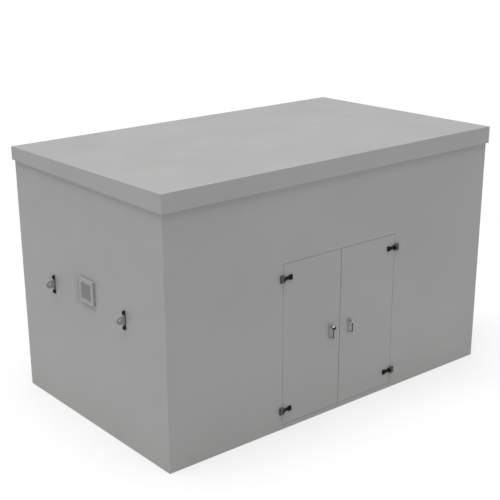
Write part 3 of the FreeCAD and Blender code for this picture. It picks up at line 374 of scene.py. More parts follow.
def finned(name):
    m = Mat(name)
    w = m.node("ShaderNodeTexWave")
    w.wave_type = "BANDS"
    w.bands_direction = "Y"
    w.inputs["Scale"].default_value = 170.0
    w.inputs["Distortion"].default_value = 0.0
    m.link(m.co, w.inputs["Vector"])
    m.colour(m.mix(m.span(m.noise(18.0, 5.0, 0.6), 0.4, 0.7, 0.0, 0.3), (0.045, 0.045, 0.046), (0.09, 0.088, 0.085)))
    m.metal(0.3)
    m.rough(m.span(m.noise(60.0, 3.0, 0.5), 0.3, 0.7, 0.4, 0.6))
    m.bump(w.outputs["Fac"], 0.5, 0.001)
    return m.m


def winding(name):
    m = Mat(name)
    w = m.node("ShaderNodeTexWave")
    w.wave_type = "BANDS"
    w.bands_direction = "X"
    w.inputs["Scale"].default_value = 150.0
    m.link(m.co, w.inputs["Vector"])
    x = m.axis("X")
    ends = m.math("MAXIMUM", m.span(x, -0.235, -0.225, 0.0, 1.0), m.span(x, -0.40, -0.39, 1.0, 0.0))
    m.colour(m.mix(ends, (0.20, 0.20, 0.21), (0.42, 0.16, 0.06)))
    m.metal(0.8)
    m.rough(m.span(m.noise(80.0, 3.0, 0.5), 0.3, 0.7, 0.3, 0.5))
    m.bump(w.outputs["Fac"], 0.4, 0.0006)
    return m.m


def galvanised(name):
    m = Mat(name)
    v = m.voronoi(38.0)
    m.colour(m.ramp(v, [(0.1, (0.42, 0.43, 0.44)), (0.6, (0.58, 0.59, 0.60))]))
    m.metal(0.7)
    m.rough(m.span(v, 0.1, 0.7, 0.32, 0.5))
    m.bump(m.noise(200.0, 3.0, 0.5), 0.05, 0.0003)
    return m.m


ENCL = (0.343, 0.343, 0.340)
M = {
    # vent=True paints shade beside and under the left-end vent frame into this paint
    "enclosure_paint": paint("enclosure_paint", ENCL, 0.48, dust=0.10, vent=True),
    "louvre_paint": paint("louvre_paint", scaled(ENCL, 0.94), 0.45),
    "mesh_grey": paint("mesh_grey", (0.315, 0.315, 0.315), 0.5),
    "frame_paint": paint("frame_paint", (0.045, 0.045, 0.047), 0.38, grain=300, grain_strength=0.2),
    "hinge_grey": casting("hinge_grey", (0.062, 0.062, 0.064), 0.5, 0.0, 500, 0.15, 0.1),
    "hinge_black": paint("hinge_black", (0.004, 0.004, 0.0042), 0.6, grain=500, spec=0.15),
    "plate_dark": casting("plate_dark", (0.05, 0.05, 0.05), 0.5, 0.0, 420, 0.2, 0.15),
    "bolt_black": paint("bolt_black", (0.003, 0.003, 0.003), 0.55, grain=500, spec=0.12),
    "eye_grey": casting("eye_grey", (0.30, 0.30, 0.297), 0.5, 0.0, 420, 0.2, 0.15),
    "pin_steel": metal("pin_steel", (0.55, 0.55, 0.56), 0.25, (1, 1, 8)),
    "seal_rubber": rubber("seal_rubber"),
    "foam": foam("foam"),
    "latch_zinc": casting("latch_zinc", (0.33, 0.33, 0.326), 0.4, 0.0, 600, 0.1, 0.08),
    # lever_dark: the second colour is a painted dark reflection on the hand bar, the third a painted highlight on the
    # top corner
    "lever_dark": rod("lever_dark", (0.20, 0.20, 0.20), (0.022, 0.022, 0.023), (0.62, 0.62, 0.62)),
    "chrome_lock": barrel("chrome_lock", (0.88, 0.88, 0.88)),
    "zinc_steel": metal("zinc_steel", (0.60, 0.61, 0.60), 0.3, (1, 1, 1), 60, 0.08, 0.15),
    "cast_iron": casting("cast_iron", (0.17, 0.19, 0.21), 0.5),
    "cast_alloy": casting("cast_alloy", (0.50, 0.51, 0.52), 0.48, 0.75, 200, 0.4, 0.3),
    "cover_black": casting("cover_black", (0.045, 0.045, 0.047), 0.5, 0.0, 700, 0.9, 0.0),
    "alternator_paint": casting("alternator_paint", (0.17, 0.19, 0.21), 0.45, 0.0, 300, 0.2, 0.2),
    "forged_steel": metal("forged_steel", (0.42, 0.42, 0.43), 0.32, (6, 1, 1)),
    "winding_steel": winding("winding_steel"),
    "fan_plastic": plastic("fan_plastic", (0.03, 0.03, 0.032), 0.5),
    "radiator_black": finned("radiator_black"),
    "duct_steel": galvanised("duct_steel"),
    "exhaust_steel": exhaust("exhaust_steel"),
    "belt_rubber": rubber("belt_rubber", (0.018, 0.018, 0.018), 0.55),
    "hose_rubber": rubber("hose_rubber", (0.02, 0.02, 0.021), 0.5, 300),
    "filter_white": paint("filter_white", (0.62, 0.62, 0.60), 0.25, grain=200, grain_strength=0.05),
    "cleaner_plastic": plastic("cleaner_plastic", (0.05, 0.05, 0.053), 0.5),
    "battery_case": plastic("battery_case", (0.035, 0.035, 0.037), 0.42),
    "cable_black": rubber("cable_black", (0.015, 0.015, 0.016), 0.4, 600),
    "mount_rubber": rubber("mount_rubber"),
    "control_paint": paint("control_paint", (0.10, 0.104, 0.108), 0.55, grain=420, grain_strength=0.5),
    "stop_red": plastic("stop_red", (0.55, 0.012, 0.01), 0.25, 300, 0.03, 0.6),
    "stop_yellow": plastic("stop_yellow", (0.72, 0.44, 0.01), 0.35, 300, 0.05, 0.3),
    "lamp_green": plastic("lamp_green", (0.01, 0.30, 0.05), 0.12, 300, 0.02, 0.8),
    "lamp_amber": plastic("lamp_amber", (0.60, 0.22, 0.01), 0.12, 300, 0.02, 0.8),
    "screen": plastic("screen", (0.035, 0.05, 0.045), 0.08, 300, 0.01, 0.9),
    "lever_black": plastic("lever_black", (0.015, 0.015, 0.016), 0.3, 400, 0.08, 0.3),
}
for entry in frame["record"]["subparts"]:
    o = N[entry["node"]]
    o.data.materials.clear()
    o.data.materials.append(M[entry["material_slot"]])

# ---------------------------------------------------------------------------
# Small rounded edges on the CAD pieces, so that edges catch light
# ---------------------------------------------------------------------------
EDGE = {
    "roof_lid": 0.0012, "front_panel": 0.0005, "rear_panel": 0.0005, "left_end_panel": 0.0005,
    "right_end_panel": 0.0005, "left_door": 0.0005, "right_door": 0.0005, "vent_frame": 0.0008,
    "lifting_eyes": 0.0012, "eye_base_plates": 0.001, "hinge_frame_leaves": 0.0012,
    "left_hinge_leaves": 0.0005, "right_hinge_leaves": 0.0005, "left_latch_body": 0.0006,
    "right_latch_body": 0.0006, "left_handle": 0.0004, "right_handle": 0.0003, "lock_cylinder": 0.0004,
    "eye_bolts": 0.0008, "control_box": 0.0025, "battery": 0.002, "engine_block": 0.003,
    "cylinder_head": 0.003, "alternator_housing": 0.003, "radiator": 0.002, "starter_motor": 0.002,
    "air_cleaner": 0.004, "muffler": 0.002, "oil_sump": 0.002, "skid_rails": 0.001, "base_frame": 0.001,
    "crankshaft": 0.0015, "fan": 0.001, "emergency_stop": 0.003, "main_breaker_lever": 0.001,
    "fan_shroud": 0.001, "intake_louvre": 0.0004, "discharge_louvre": 0.0004, "left_latch_cam": 0.0004,
    "right_latch_disc": 0.0004, "upper_shoot_bolt": 0.0006, "lower_shoot_bolt": 0.0006,
    "flywheel_housing": 0.001, "oil_filter": 0.0008, "rocker_cover": 0.0008,
}
for name, width in EDGE.items():
    b = N[name].modifiers.new("edge", "BEVEL")
    b.width = width
    b.segments = 2
    b.limit_method = "ANGLE"
    b.angle_limit = math.radians(40)
    b.use_clamp_overlap = True
    b.harden_normals = False
for name, o in N.items():
    for p in o.data.polygons:
        p.use_smooth = True
    o.data.set_sharp_from_angle(angle=math.radians(32))

# ---------------------------------------------------------------------------
# Detail pieces, in millimetres
# ---------------------------------------------------------------------------
AX = {"x": Vector((1, 0, 0)), "y": Vector((0, 1, 0)), "z": Vector((0, 0, 1))}


def basis(a):
    a = (AX[a] if isinstance(a, str) else Vector(a)).normalized()
    ref = Vector((0, 0, 1)) if abs(a.z) < 0.9 else Vector((1, 0, 0))
    u = a.cross(ref).normalized()
    return a, u, a.cross(u).normalized()


class Piece:
    def __init__(self, name):
        self.name = name
        self.bm = bmesh.new()

    def face(self, vs):
        try:
            self.bm.faces.new(vs)
        except ValueError:
            pass

    def block(self, x0, x1, y0, y1, z0, z1, ch=0.0):
        made = bmesh.ops.create_cube(self.bm, size=1.0)["verts"]
        for v in made:
            v.co = Vector(((x0 + x1) / 2 + v.co.x * (x1 - x0), (y0 + y1) / 2 + v.co.y * (y1 - y0),
                           (z0 + z1) / 2 + v.co.z * (z1 - z0)))
        if ch:
            edges = list({e for v in made for e in v.link_edges})
            bmesh.ops.bevel(self.bm, geom=edges, offset=ch, segments=2, profile=0.6, affect="EDGES")

    def bar(self, at, dirs, sizes, ch=0.0):
        """Box in any direction: centre, three unit vectors, three full sizes."""
        a, b, c = (Vector(v).normalized() for v in dirs)
        made = bmesh.ops.create_cube(self.bm, size=1.0)["verts"]
        for v in made:
            v.co = Vector(at) + a * v.co.x * sizes[0] + b * v.co.y * sizes[1] + c * v.co.z * sizes[2]
        if ch:
            edges = list({e for v in made for e in v.link_edges})
            bmesh.ops.bevel(self.bm, geom=edges, offset=ch, segments=2, profile=0.6, affect="EDGES")

    def turned(self, at, axis, profile, seg=28, closed=False, twist=0.0):
        """Profile points are (distance along the axis, radius)."""
        a, u, v = basis(axis)
        at = Vector(at)
        rings = []
        for t, r in profile:
            if r < 1e-6:
                rings.append([self.bm.verts.new(at + a * t)])
            else:
                rings.append([self.bm.verts.new(at + a * t + (u * math.cos(w) + v * math.sin(w)) * r)
                              for w in (twist + 2 * math.pi * i / seg for i in range(seg))])
        pairs = list(zip(rings, rings[1:])) + ([(rings[-1], rings[0])] if closed else [])
        for p, q in pairs:
            for i in range(seg):
                j = (i + 1) % seg
                if len(p) == 1 and len(q) > 1:
                    self.face((p[0], q[j], q[i]))
                elif len(q) == 1 and len(p) > 1:
                    self.face((p[i], p[j], q[0]))
                elif len(p) > 1 and len(q) > 1:
                    self.face((p[i], p[j], q[j], q[i]))
        if not closed:
            if len(rings[0]) > 1:
                self.face(rings[0])
            if len(rings[-1]) > 1:
                self.face(list(reversed(rings[-1])))

    def bolt(self, at, axis, af=13.0, h=6.0, washer=True, twist=0.2):
        """Flanged hex head standing on a surface."""
        r = af / math.sqrt(3)
        t = 0.0
        if washer:
            self.turned(at, axis, [(0, r * 1.28), (1.2, r * 1.28), (1.6, r * 1.15), (1.6, 0)], 20)
            t = 1.4
        self.turned(at, axis, [(t, r), (t + h * 0.82, r), (t + h, r * 0.86), (t + h, 0)], 6, twist=twist)

    def screw(self, at, axis, r=3.2, h=2.0):
        """Pan head with a shallow conical recess in its top."""
        self.turned(at, axis, [(0, r), (h * 0.55, r), (h * 0.9, r * 0.72), (h, r * 0.45), (h * 0.55, r * 0.26), (h * 0.5, 0)], 18)

    def tube(self, pts, r, seg=12, ends=True, radii=None):
        pts = [Vector(p) for p in pts]
        rings, n = [], None
        for i, p in enumerate(pts):
            d = (pts[min(i + 1, len(pts) - 1)] - pts[max(i - 1, 0)]).normalized()
            if n is None:
                n = basis(d)[1]
            n = (n - d * n.dot(d)).normalized()
            m = d.cross(n)
            rr = radii[i] if radii else r
            rings.append([self.bm.verts.new(p + (n * math.cos(w) + m * math.sin(w)) * rr)
                          for w in (2 * math.pi * k / seg for k in range(seg))])
        for p, q in zip(rings, rings[1:]):
            for i in range(seg):
                j = (i + 1) % seg
                self.face((p[i], p[j], q[j], q[i]))
        if ends:
            self.face(list(reversed(rings[0])))
            self.face(rings[-1])

    def band(self, at, axis, r, width, thick=1.0, seg=40, a0=0.0, a1=360.0):
        """Flat strap round an axis, centred on the point."""
        if a1 - a0 >= 360:
            self.turned(at, axis, [(-width / 2, r), (-width / 2, r + thick), (width / 2, r + thick), (width / 2, r)], seg, closed=True)
            return
        a, u, v = basis(axis)
        at = Vector(at)
        rings = []
        for i in range(seg + 1):
            w = math.radians(a0 + (a1 - a0) * i / seg)
            d = u * math.cos(w) + v * math.sin(w)
            rings.append([self.bm.verts.new(at + a * t + d * q) for t, q in
                          ((-width / 2, r), (-width / 2, r + thick), (width / 2, r + thick), (width / 2, r))])
        for p, q in zip(rings, rings[1:]):
            for i in range(4):
                j = (i + 1) % 4
                self.face((p[i], q[i], q[j], p[j]))
        self.face(rings[0])
        self.face(list(reversed(rings[-1])))

    def clamp(self, at, axis, r, twist_dir):
        """Worm-drive hose clamp: band, housing and screw."""
        a, u, v = basis(axis)
        at = Vector(at)
        self.turned(at, axis, [(-6, r), (-6, r + 0.9), (-4.6, r + 1.2), (4.6, r + 1.2), (6, r + 0.9), (6, r)], 40, closed=True)
        d = (Vector(twist_dir) - a * Vector(twist_dir).dot(a)).normalized()
        side = a.cross(d)
        c = at + d * (r + 4.2)
        self.turned(c - side * 7, side, [(0, 3.9), (11, 3.9), (11.5, 3.2), (11.5, 0)], 14)
        self.turned(c + side * 4.5, side, [(0, 3.6), (4.5, 3.6), (5.2, 2.9), (5.2, 0)], 6)

    def loop(self, outer, profile, plane="XZ"):
        """Mitred strip inside a rectangle; profile points are (inset, height)."""
        u0, w0, u1, w1 = outer
        rings = []
        for d, h in profile:
            c = [(u0 + d, w0 + d), (u1 - d, w0 + d), (u1 - d, w1 - d), (u0 + d, w1 - d)]
            rings.append([self.bm.verts.new(Vector((p, h, q) if plane == "XZ" else (p, q, h) if plane == "XY" else (h, p, q))) for p, q in c])
        n = len(rings)
        for k in range(n):
            p, q = rings[k], rings[(k + 1) % n]
            for i in range(4):
                j = (i + 1) % 4
                self.face((p[i], p[j], q[j], q[i]))

    def foam(self, normal, base, peak, u0, u1, w0, w1, pitch=26.0, step=None, holes=(), dents=(), reach=20.0):
        """Convoluted sheet: rows of rounded peaks on a flat back."""
        step = step or pitch / 4
        nu, nw = max(4, round((u1 - u0) / step)), max(4, round((w1 - w0) / step))
        def at(u, w, h):
            return Vector((h, u, w) if normal == "x" else (u, h, w))
        top, bot = [], []
        for i in range(nu + 1):
            row, low = [], []
            for j in range(nw + 1):
                u, w = u0 + (u1 - u0) * i / nu, w0 + (w1 - w0) * j / nw
                f = 0.5 + 0.25 * (math.cos(2 * math.pi * (u - u0) / pitch) + math.cos(2 * math.pi * (w - w0) / pitch))
                h = 0.42 + 0.58 * f
                for a, b in dents:
                    d = math.hypot(u - a, w - b) - reach
                    h = min(h, 0.34 + 0.66 * max(0.0, d) / reach)
                for a0, a1, b0, b1 in holes:
                    if a0 <= u <= a1 and b0 <= w <= b1:
                        h = 0.12
                if i in (0, nu) or j in (0, nw):
                    h = min(h, 0.4)
                row.append(self.bm.verts.new(at(u, w, base + (peak - base) * h)))
            top.append(row)
        for i in range(nu):
            for j in range(nw):
                self.face((top[i][j], top[i + 1][j], top[i + 1][j + 1], top[i][j + 1]))
        edge = [top[i][0] for i in range(nu + 1)] + [top[nu][j] for j in range(1, nw + 1)] + \
               [top[i][nw] for i in range(nu - 1, -1, -1)] + [top[0][j] for j in range(nw - 1, 0, -1)]
        low = []
        for v in edge:
            c = v.co.copy()
            if normal == "x":
                c.x = base
            else:
                c.y = base
            low.append(self.bm.verts.new(c))
        for k in range(len(edge)):
            m = (k + 1) % len(edge)
            self.face((edge[k], low[k], low[m], edge[m]))
        self.face(low)

    def done(self, slot_name, body="enclosure", edge=0.0, angle=34):
        bmesh.ops.remove_doubles(self.bm, verts=self.bm.verts, dist=1e-4)
        bmesh.ops.recalc_face_normals(self.bm, faces=self.bm.faces)
        for v in self.bm.verts:
            v.co *= 0.001
        me = bpy.data.meshes.new(self.name)
        self.bm.to_mesh(me)
        self.bm.free()
        o = bpy.data.objects.new(self.name, me)
        scene.collection.objects.link(o)
        me.materials.append(M[slot_name])
        for p in me.polygons:
            p.use_smooth = True
        me.set_sharp_from_angle(angle=math.radians(angle))
        if edge:
            b = o.modifiers.new("edge", "BEVEL")
            b.width = edge * 0.001
            b.segments = 2
            b.limit_method = "ANGLE"
            b.angle_limit = math.radians(38)
        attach(o, body)
        return o


CY, CZ, FZ = 30.0, 250.0, 400.0  # crank axis y and z, fan axis z

# Door linings: convoluted foam with retaining washers
for side, s in (("left", -1), ("right", 1)):
    lo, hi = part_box(side + "_door_lining")
    u0, u1, w0, w1 = lo.x * 1000, hi.x * 1000, lo.z * 1000, hi.z * 1000
    p = Piece(side + "_door_foam")
    h0, h1 = (244, 257)
    spots = [((s * h0 if s > 0 else -h1), (s * h1 if s > 0 else -h0), z - 12, z + 12) for z in (77.5, 596.5)]
    dots = [(x, z) for x in (u0 + 34, (u0 + u1) / 2, u1 - 34) for z in (130, 335, 540)]
    p.foam("y", -479.9, -467.2, u0, u1, w0, w1, 24.0, 6.0, spots, dots, 22.0)
    o = p.done("foam", side + "_leaf", angle=80)
    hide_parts(side + "_door_lining")
    p = Piece(side + "_door_foam_pins")
    for x, z in dots:
        p.turned((x, -475.3, z), "y", [(0, 4), (0.8, 15), (1.6, 15.5), (2.2, 14.5), (2.6, 5), (4.2, 4.4), (4.6, 3), (4.6, 0)], 26)
    p.done("duct_steel", side + "_leaf")

# Wall and lid linings
walls = [
    ("y", 479.8, 460.5, -780, -620, 80, 930), ("y", 479.8, 460.5, -120, 780, 80, 930),
    ("y", 479.8, 460.5, -600, -140, 760, 930),
    ("x", -797.8, -778.5, -430, -60, 80, 440), ("x", -797.8, -778.5, 60, 430, 80, 440),
    ("x", -797.8, -778.5, -430, 430, 620, 900), ("x", 797.8, 778.5, -430, 430, 650, 900),
    ("y", -479.8, -460.5, -780, -320, 80, 930), ("y", -479.8, -460.5, 320, 780, 80, 930),
    ("y", -479.8, -460.5, -300, 300, 680, 930),
]
p = Piece("wall_foam")
pins = Piece("wall_foam_pins")
for n, b0, b1, u0, u1, w0, w1 in walls:
    s = 1 if b1 > b0 else -1
    nu, nw = max(1, round((u1 - u0) / 260)), max(1, round((w1 - w0) / 260))
    dots = [(u0 + (u1 - u0) * (i + 0.5) / nu, w0 + (w1 - w0) * (j + 0.5) / nw) for i in range(nu) for j in range(nw)]
    p.foam(n, b0, b1, u0 + 0.2, u1 - 0.2, w0 + 0.2, w1 - 0.2, 40.0, 10.0, (), dots, 32.0)
    h = b0 + (b1 - b0) * 0.34 + s * 0.3
    for u, w in dots:
        at, ax = ((h, u, w), (s, 0, 0)) if n == "x" else ((u, h, w), (0, s, 0))
        pins.turned(at, ax, [(0, 4), (0.8, 17), (1.6, 17.5), (2.2, 16.5), (2.6, 5), (4.4, 4.4), (4.8, 3), (4.8, 0)], 26)
o = p.done("foam", angle=80)
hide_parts("acoustic_linings")
pins.done("duct_steel")

# Weather seals: low D section with two ribs on the door jamb, bulbs under the lid
p = Piece("jamb_seal_strip")
H = 286.25
p.loop((-(H - 3), 20.5, H - 3, 649.0), [
    (0.3, -464.05), (0.3, -464.6), (1.2, -465.2), (2.6, -465.6), (3.8, -465.2), (4.4, -464.7), (5.6, -464.7),
    (6.2, -465.2), (7.4, -465.6), (8.8, -465.2), (9.7, -464.6), (9.7, -464.05)])
for z0, z1, y0, y1 in ((986.3, 996.6, -479.8, -460.2), (971.3, 981.2, 460.2, 479.8)):
    prof = [(y0, z0), (y1, z0), (y1, z0 + 2.5), (y1 - 3, z0 + 3.2)]
    cy, cz, r = (y0 + y1) / 2, z1 - 3.6, 3.5
    prof += [(cy + 1.8 + r * math.cos(t) * 1.6, cz + r * math.sin(t)) for t in [math.radians(a) for a in range(-30, 211, 20)]]
    prof += [(y0 + 3, z0 + 3.2), (y0, z0 + 2.5)]
    for xa, xb in ((-795.8, 795.8),):
        a = [p.bm.verts.new(Vector((xa, y, z))) for y, z in prof]
        b = [p.bm.verts.new(Vector((xb, y, z))) for y, z in prof]
        for i in range(len(prof)):
            j = (i + 1) % len(prof)
            p.face((a[i], a[j], b[j], b[i]))
        p.face(a)
        p.face(list(reversed(b)))
o = p.done("seal_rubber", angle=50)
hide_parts("weather_seals")

# Battery: terminal clamps, vent caps, hold-down
by = -310.0
for x, nm_, col in ((-110, "positive", "stop_red"), (-220, "negative", "cable_black")):
    p = Piece("battery_clamp_" + nm_)
    p.turned((x, by, 203), "z", [(0, 9.2), (0, 13), (1, 14), (9, 14), (10, 13), (10, 9.2)], 28, closed=True)
    p.block(x - 6.5, x + 6.5, by - 31, by - 12, 203.5, 212.5, 1.0)
    p.bolt((x + 6.5, by - 24, 208), "x", 9, 5)
    p.turned((x - 6.5, by - 24, 208), (-1, 0, 0), [(0, 5), (4, 5), (4.5, 4.2), (4.5, 0)], 6)
    p.done("pin_steel", edge=0.3)
    p = Piece("battery_boot_" + nm_)
    p.turned((x, by, 213.4), "z", [(0, 12.8), (0.8, 13.6), (7, 12.2), (11, 8.6), (18, 7.4), (24, 6.8), (24.6, 6.2), (24.6, 4.7)], 28)
    p.done(col)
p = Piece("battery_vent_caps")
for i in range(6):
    x = -268 + 13 + i * 31 + 6
    for y in (-262,):
        p.turned((x + 4, y, 208), "z", [(-0.4, 11.5), (1.2, 11.5), (2.0, 10.6), (2.0, 8.2), (4.6, 7.8), (5.2, 7.0), (5.2, 0)], 22)
p.block(-274, -66, -279, -245, 207.5, 209.0, 0.6)
p.done("battery_case", edge=0.2)
p = Piece("battery_hold_down")
p.block(-292, -48, -352, -338, 208.2, 211.0, 0.8)
p.block(-292, -48, -354, -351, 203.0, 211.0, 0.8)
for x in (-286, -54):
    p.tube([(x, -345, 4), (x, -345, 60), (x, -345, 140), (x, -345, 222)], 3.2, 12)
    p.turned((x, -345, 211), "z", [(0, 8.5), (1.4, 8.5), (1.4, 0)], 20)
    p.turned((x, -345, 212.4), "z", [(0, 6), (5, 6), (5.6, 5.2), (5.6, 3.3)], 6)
p.done("zinc_steel", edge=0.3)
p = Piece("battery_tray")
p.loop((-290, -402, -50, -218), [(0, 3.1), (0, 22), (1.6, 22), (1.6, 4.6), (9.5, 4.6), (9.5, 3.1)], "XY")
for x in (-284, -56):
    for y in (-396, -224):
        p.bolt((x - (5 if x < -100 else -5) * 0, y, 4.6), "z", 6, 3, False)
p.done("frame_paint", edge=0.3)

# Control box: door frame, blank screen, keys, lamps, key switch, hinges
F = -320.0
p = Piece("control_fascia")
p.loop((-266, 444, -24, 636), [(0, F - 0.2), (0, F - 2.6), (1.2, F - 3.4), (4.5, F - 3.4), (5.6, F - 2.4), (5.6, F - 0.2)])
for x in (-259, -31):
    for z in (451, 629):
        p.screw((x + (4.5 if x < -100 else -4.5), F - 0.1, z + (4 if z < 500 else -4)), (0, -1, 0), 3.4, 2.2)
for z in (478, 602):
    p.turned((-270.6, F - 3.5, z - 13), "z", [(0, 3.2), (26, 3.2)], 14)
p.done("control_paint", edge=0.3)
p = Piece("controller_bezel")
p.loop((-251, 539, -129, 621), [(0, F - 0.1), (0, F - 3.8), (2.2, F - 5.4), (5.2, F - 5.4), (8.6, F - 1.2), (8.6, F + 2.4)])
p.block(-241.5, -138.5, F + 1.4, F + 2.8, 549.5, 556.5, 0.3)
p.done("fan_plastic", edge=0.3)
p = Piece("controller_screen")
p.block(-243.5, -136.5, F + 0.4, F + 2.6, 563.5, 611.5, 0.5)
p.done("screen")
p = Piece("controller_keys")
for i in range(5):
    x = -232.0 + i * 21
    p.turned((x, F + 2.6, 553.2), (0, -1, 0), [(0, 5.4), (2.4, 5.2), (3.2, 4.4), (3.5, 0)], 22)
p.done("filter_white")
for i, (nm_, kind) in enumerate((("green", "lamp_green"), ("amber", "lamp_amber"), ("red", "stop_red"))):
    x = -104.0 + i * 27
    p = Piece("lamp_bezel_" + nm_)
    p.turned((x, F, 604), (0, -1, 0), [(0, 9.6), (2.2, 9.6), (3.4, 8.4), (3.4, 6.4), (1.6, 6.2), (0.2, 6.2), (0.2, 0)], 28)
    p.done("pin_steel")
    p = Piece("lamp_" + nm_)
    p.turned((x, F - 0.3, 604), (0, -1, 0), [(0, 6.0), (3.4, 5.9), (5.4, 4.9), (6.6, 2.9), (7.0, 0)], 24)
    p.done(kind)
p = Piece("key_switch")
p.turned((-104, F, 566), (0, -1, 0), [(0, 12), (1.4, 12), (2.4, 11), (2.4, 8.4), (5.2, 8.0), (6.0, 7.2), (6.0, 0)], 28)
p.block(-105.0, -103.0, F - 6.6, F - 5.7, 561.5, 570.5, 0.2)
p.done("pin_steel", edge=0.2)
p = Piece("breaker_bezel")
p.loop((-80, 490, -40, 570), [(0, F - 0.1), (0, F - 2.0), (1.2, F - 3.0), (7.6, F - 3.0), (9.2, F - 1.6), (9.2, F + 0.4)])
for z in (494.6, 565.4):
    for x in (-75.6, -44.4):
        p.screw((x, F - 2.9, z), (0, -1, 0), 2.4, 1.5)
p.done("lever_black", edge=0.2)
p = Piece("stop_collar")
p.turned((-190, F, 490), (0, -1, 0), [(0, 31), (0.9, 31), (1.4, 30.5), (1.4, 14), (0, 14)], 44, closed=True)
p.done("stop_yellow")

# Engine: gasket flange and bolts, core plugs, ribs, coil pack and plug boots, dipstick
p = Piece("cover_flange")
p.loop((-58, -58, 278, 118), [(0, 450.05), (0, 455.2), (0.8, 456), (7.9, 456), (7.9, 450.05)], "XY")
p.done("cover_black", edge=0.3)
p = Piece("cover_bolts")
for x in (-48, 12, 72, 132, 192, 268):
    for y in (-54, 114):
        p.bolt((x, y, 456), "z", 8, 5)
for y in (0, 60):
    for x in (-54, 274):
        p.bolt((x, y, 456), "z", 8, 5)
for x in (-45, 20, 85, 150, 215, 322):
    for y in (-64, 124):
        p.bolt((x, y, 450), "z", 6.5, 3.5, False)
p.done("zinc_steel")
p = Piece("cover_ribs")
for x in (-20, 15, 50, 85, 120, 155):
    p.block(x, x + 5, -36, 96, 504.5, 508, 1.4)
p.turned((210, CY, 522), "z", [(0, 20), (1.2, 19.4), (1.2, 0)], 30)
for k in range(2):
    w = math.radians(35 + 90 * k)
    p.bar((210, CY, 526), ((math.cos(w), math.sin(w), 0), (-math.sin(w), math.cos(w), 0), (0, 0, 1)), (34, 6, 8), 1.8)
p.done("cover_black", edge=0.3)
p = Piece("core_plugs")
for x in (112, 262, 306):
    p.turned((x, -70, 335 if x != 306 else 250), (0, -1, 0), [(0, 18), (1.8, 18), (2.6, 16.6), (1.2, 15), (0.9, 0)], 30)
p.done("zinc_steel")
p = Piece("block_ribs")
for x in (96, 128, 228, 282, 322):
    p.block(x - 3, x + 3, -74.5, -69.5, 186, 312, 1.6)
p.block(92, 326, -73.5, -69.5, 312, 318, 1.4)
p.block(-56, 326, -75, -69.5, 171, 179, 1.6)
p.block(-56, 326, -74, -69.5, 361, 369.5, 1.4)
for x in (-56, 326):
    for y in (-20, 80):
        p.block(x - 3, x + 3, y - 3, y + 3, 372, 376, 1)
p.done("cast_iron", edge=0.5)
p = Piece("block_bolts")
for x in (-40, 8, 56, 104, 152, 200, 248, 300):
    p.bolt((x, -75, 175), (0, -1, 0), 7, 4, False)
for x in (-40, 30, 100, 170, 240, 308):
    for y in (-54, 114):
        p.bolt((x, y, 164), (0, 0, -1), 8, 5)
for y in (-52, 112):
    for z in (200, 240, 290, 345):
        p.bolt((330, y, z), "x", 10, 6)
p.bolt((314, CY, 100), "x", 13, 5)
p.done("zinc_steel")
p = Piece("coil_pack")
p.block(96, 196, -104, -74, 396, 430, 3)
for i in range(3):
    x = 116 + 30 * i
    p.turned((x, -89, 430), "z", [(-0.5, 10), (8, 9), (14, 7.5), (14, 4)], 22)
    p.block(x - 9, x + 9, -106.5, -103.5, 402, 424, 1)
p.block(104, 188, -74.5, -69.8, 388, 398, 0.8)
p.done("fan_plastic", edge=0.4)
p = Piece("spark_plug_boots")
for i, x in enumerate((28, 62, 250)):
    p.turned((x, -69.6, 412), (0, -1, 0.12), [(0, 14), (3, 14), (4, 11), (26, 9.5), (30, 8), (34, 6), (34, 0)], 22)
p.done("hose_rubber")
p = Piece("dipstick")
p.tube([(316, -76, 200), (316, -84, 230), (315, -88, 280), (312, -88, 340), (308, -86, 380)], 4.2, 12)
p.turned((316, -69.8, 200), (0, -1, 0.3), [(0, 9), (6, 9), (8, 6.5), (8, 0)], 20)
p.done("zinc_steel")
p = Piece("dipstick_handle")
p.turned((308, -86, 378), (-0.1, 0.04, 1), [(0, 6.2), (9, 6.2), (11, 4.5), (11, 0)], 18)
ring = [(307 + 0.0, -86 + 9 * math.sin(t), 397 - 9 * math.cos(t)) for t in [2 * math.pi * k / 20 for k in range(21)]]
p.tube(ring, 2.2, 8, ends=False)
p.done("stop_yellow")
p = Piece("oil_filter_end")
p.turned((180, -161, 230), (0, -1, 0), [(-0.5, 33), (1.2, 32), (1.6, 26), (0.6, 24), (0.6, 0)], 36)
p.turned((180, -161.4, 230), (0, -1, 0), [(0, 12), (7, 12), (8, 11), (8, 0)], 6)
for k in range(20):
    w = 2 * math.pi * k / 20
    d = Vector((math.cos(w), 0, math.sin(w)))
    p.bar(Vector((180, -151, 230)) + d * 37.9, (d, (0, 1, 0), d.cross(Vector((0, 1, 0)))), (2.4, 15, 5.5), 0.8)
p.done("filter_white", edge=0.2)
p = Piece("starter_fittings")
p.turned((80, -120, 300), "x", [(-0.5, 33.6), (4, 33.4), (8, 30), (9, 24), (9, 12), (11, 11), (11, 0)], 36)
p.band((66, -120, 300), "x", 34.1, 20, 1.2)
p.turned((40, -120, 346), "x", [(-0.3, 17.8), (4, 17.4), (6, 15), (6, 0)], 28)
for dy, dz in ((-8, 6), (8, 6), (0, -8)):
    p.turned((46, -120 + dy, 346 + dz), "x", [(0, 3), (9, 3), (9, 0)], 12)
    p.turned((47, -120 + dy, 346 + dz), "x", [(0, 5.2), (4, 5.2), (4, 3)], 6)
for dy in (-20, 20):
    p.bolt((89, -120 + dy * 0.9, 300 + dy * 0.5), "x", 7, 4, False)
p.done("zinc_steel", edge=0.2)

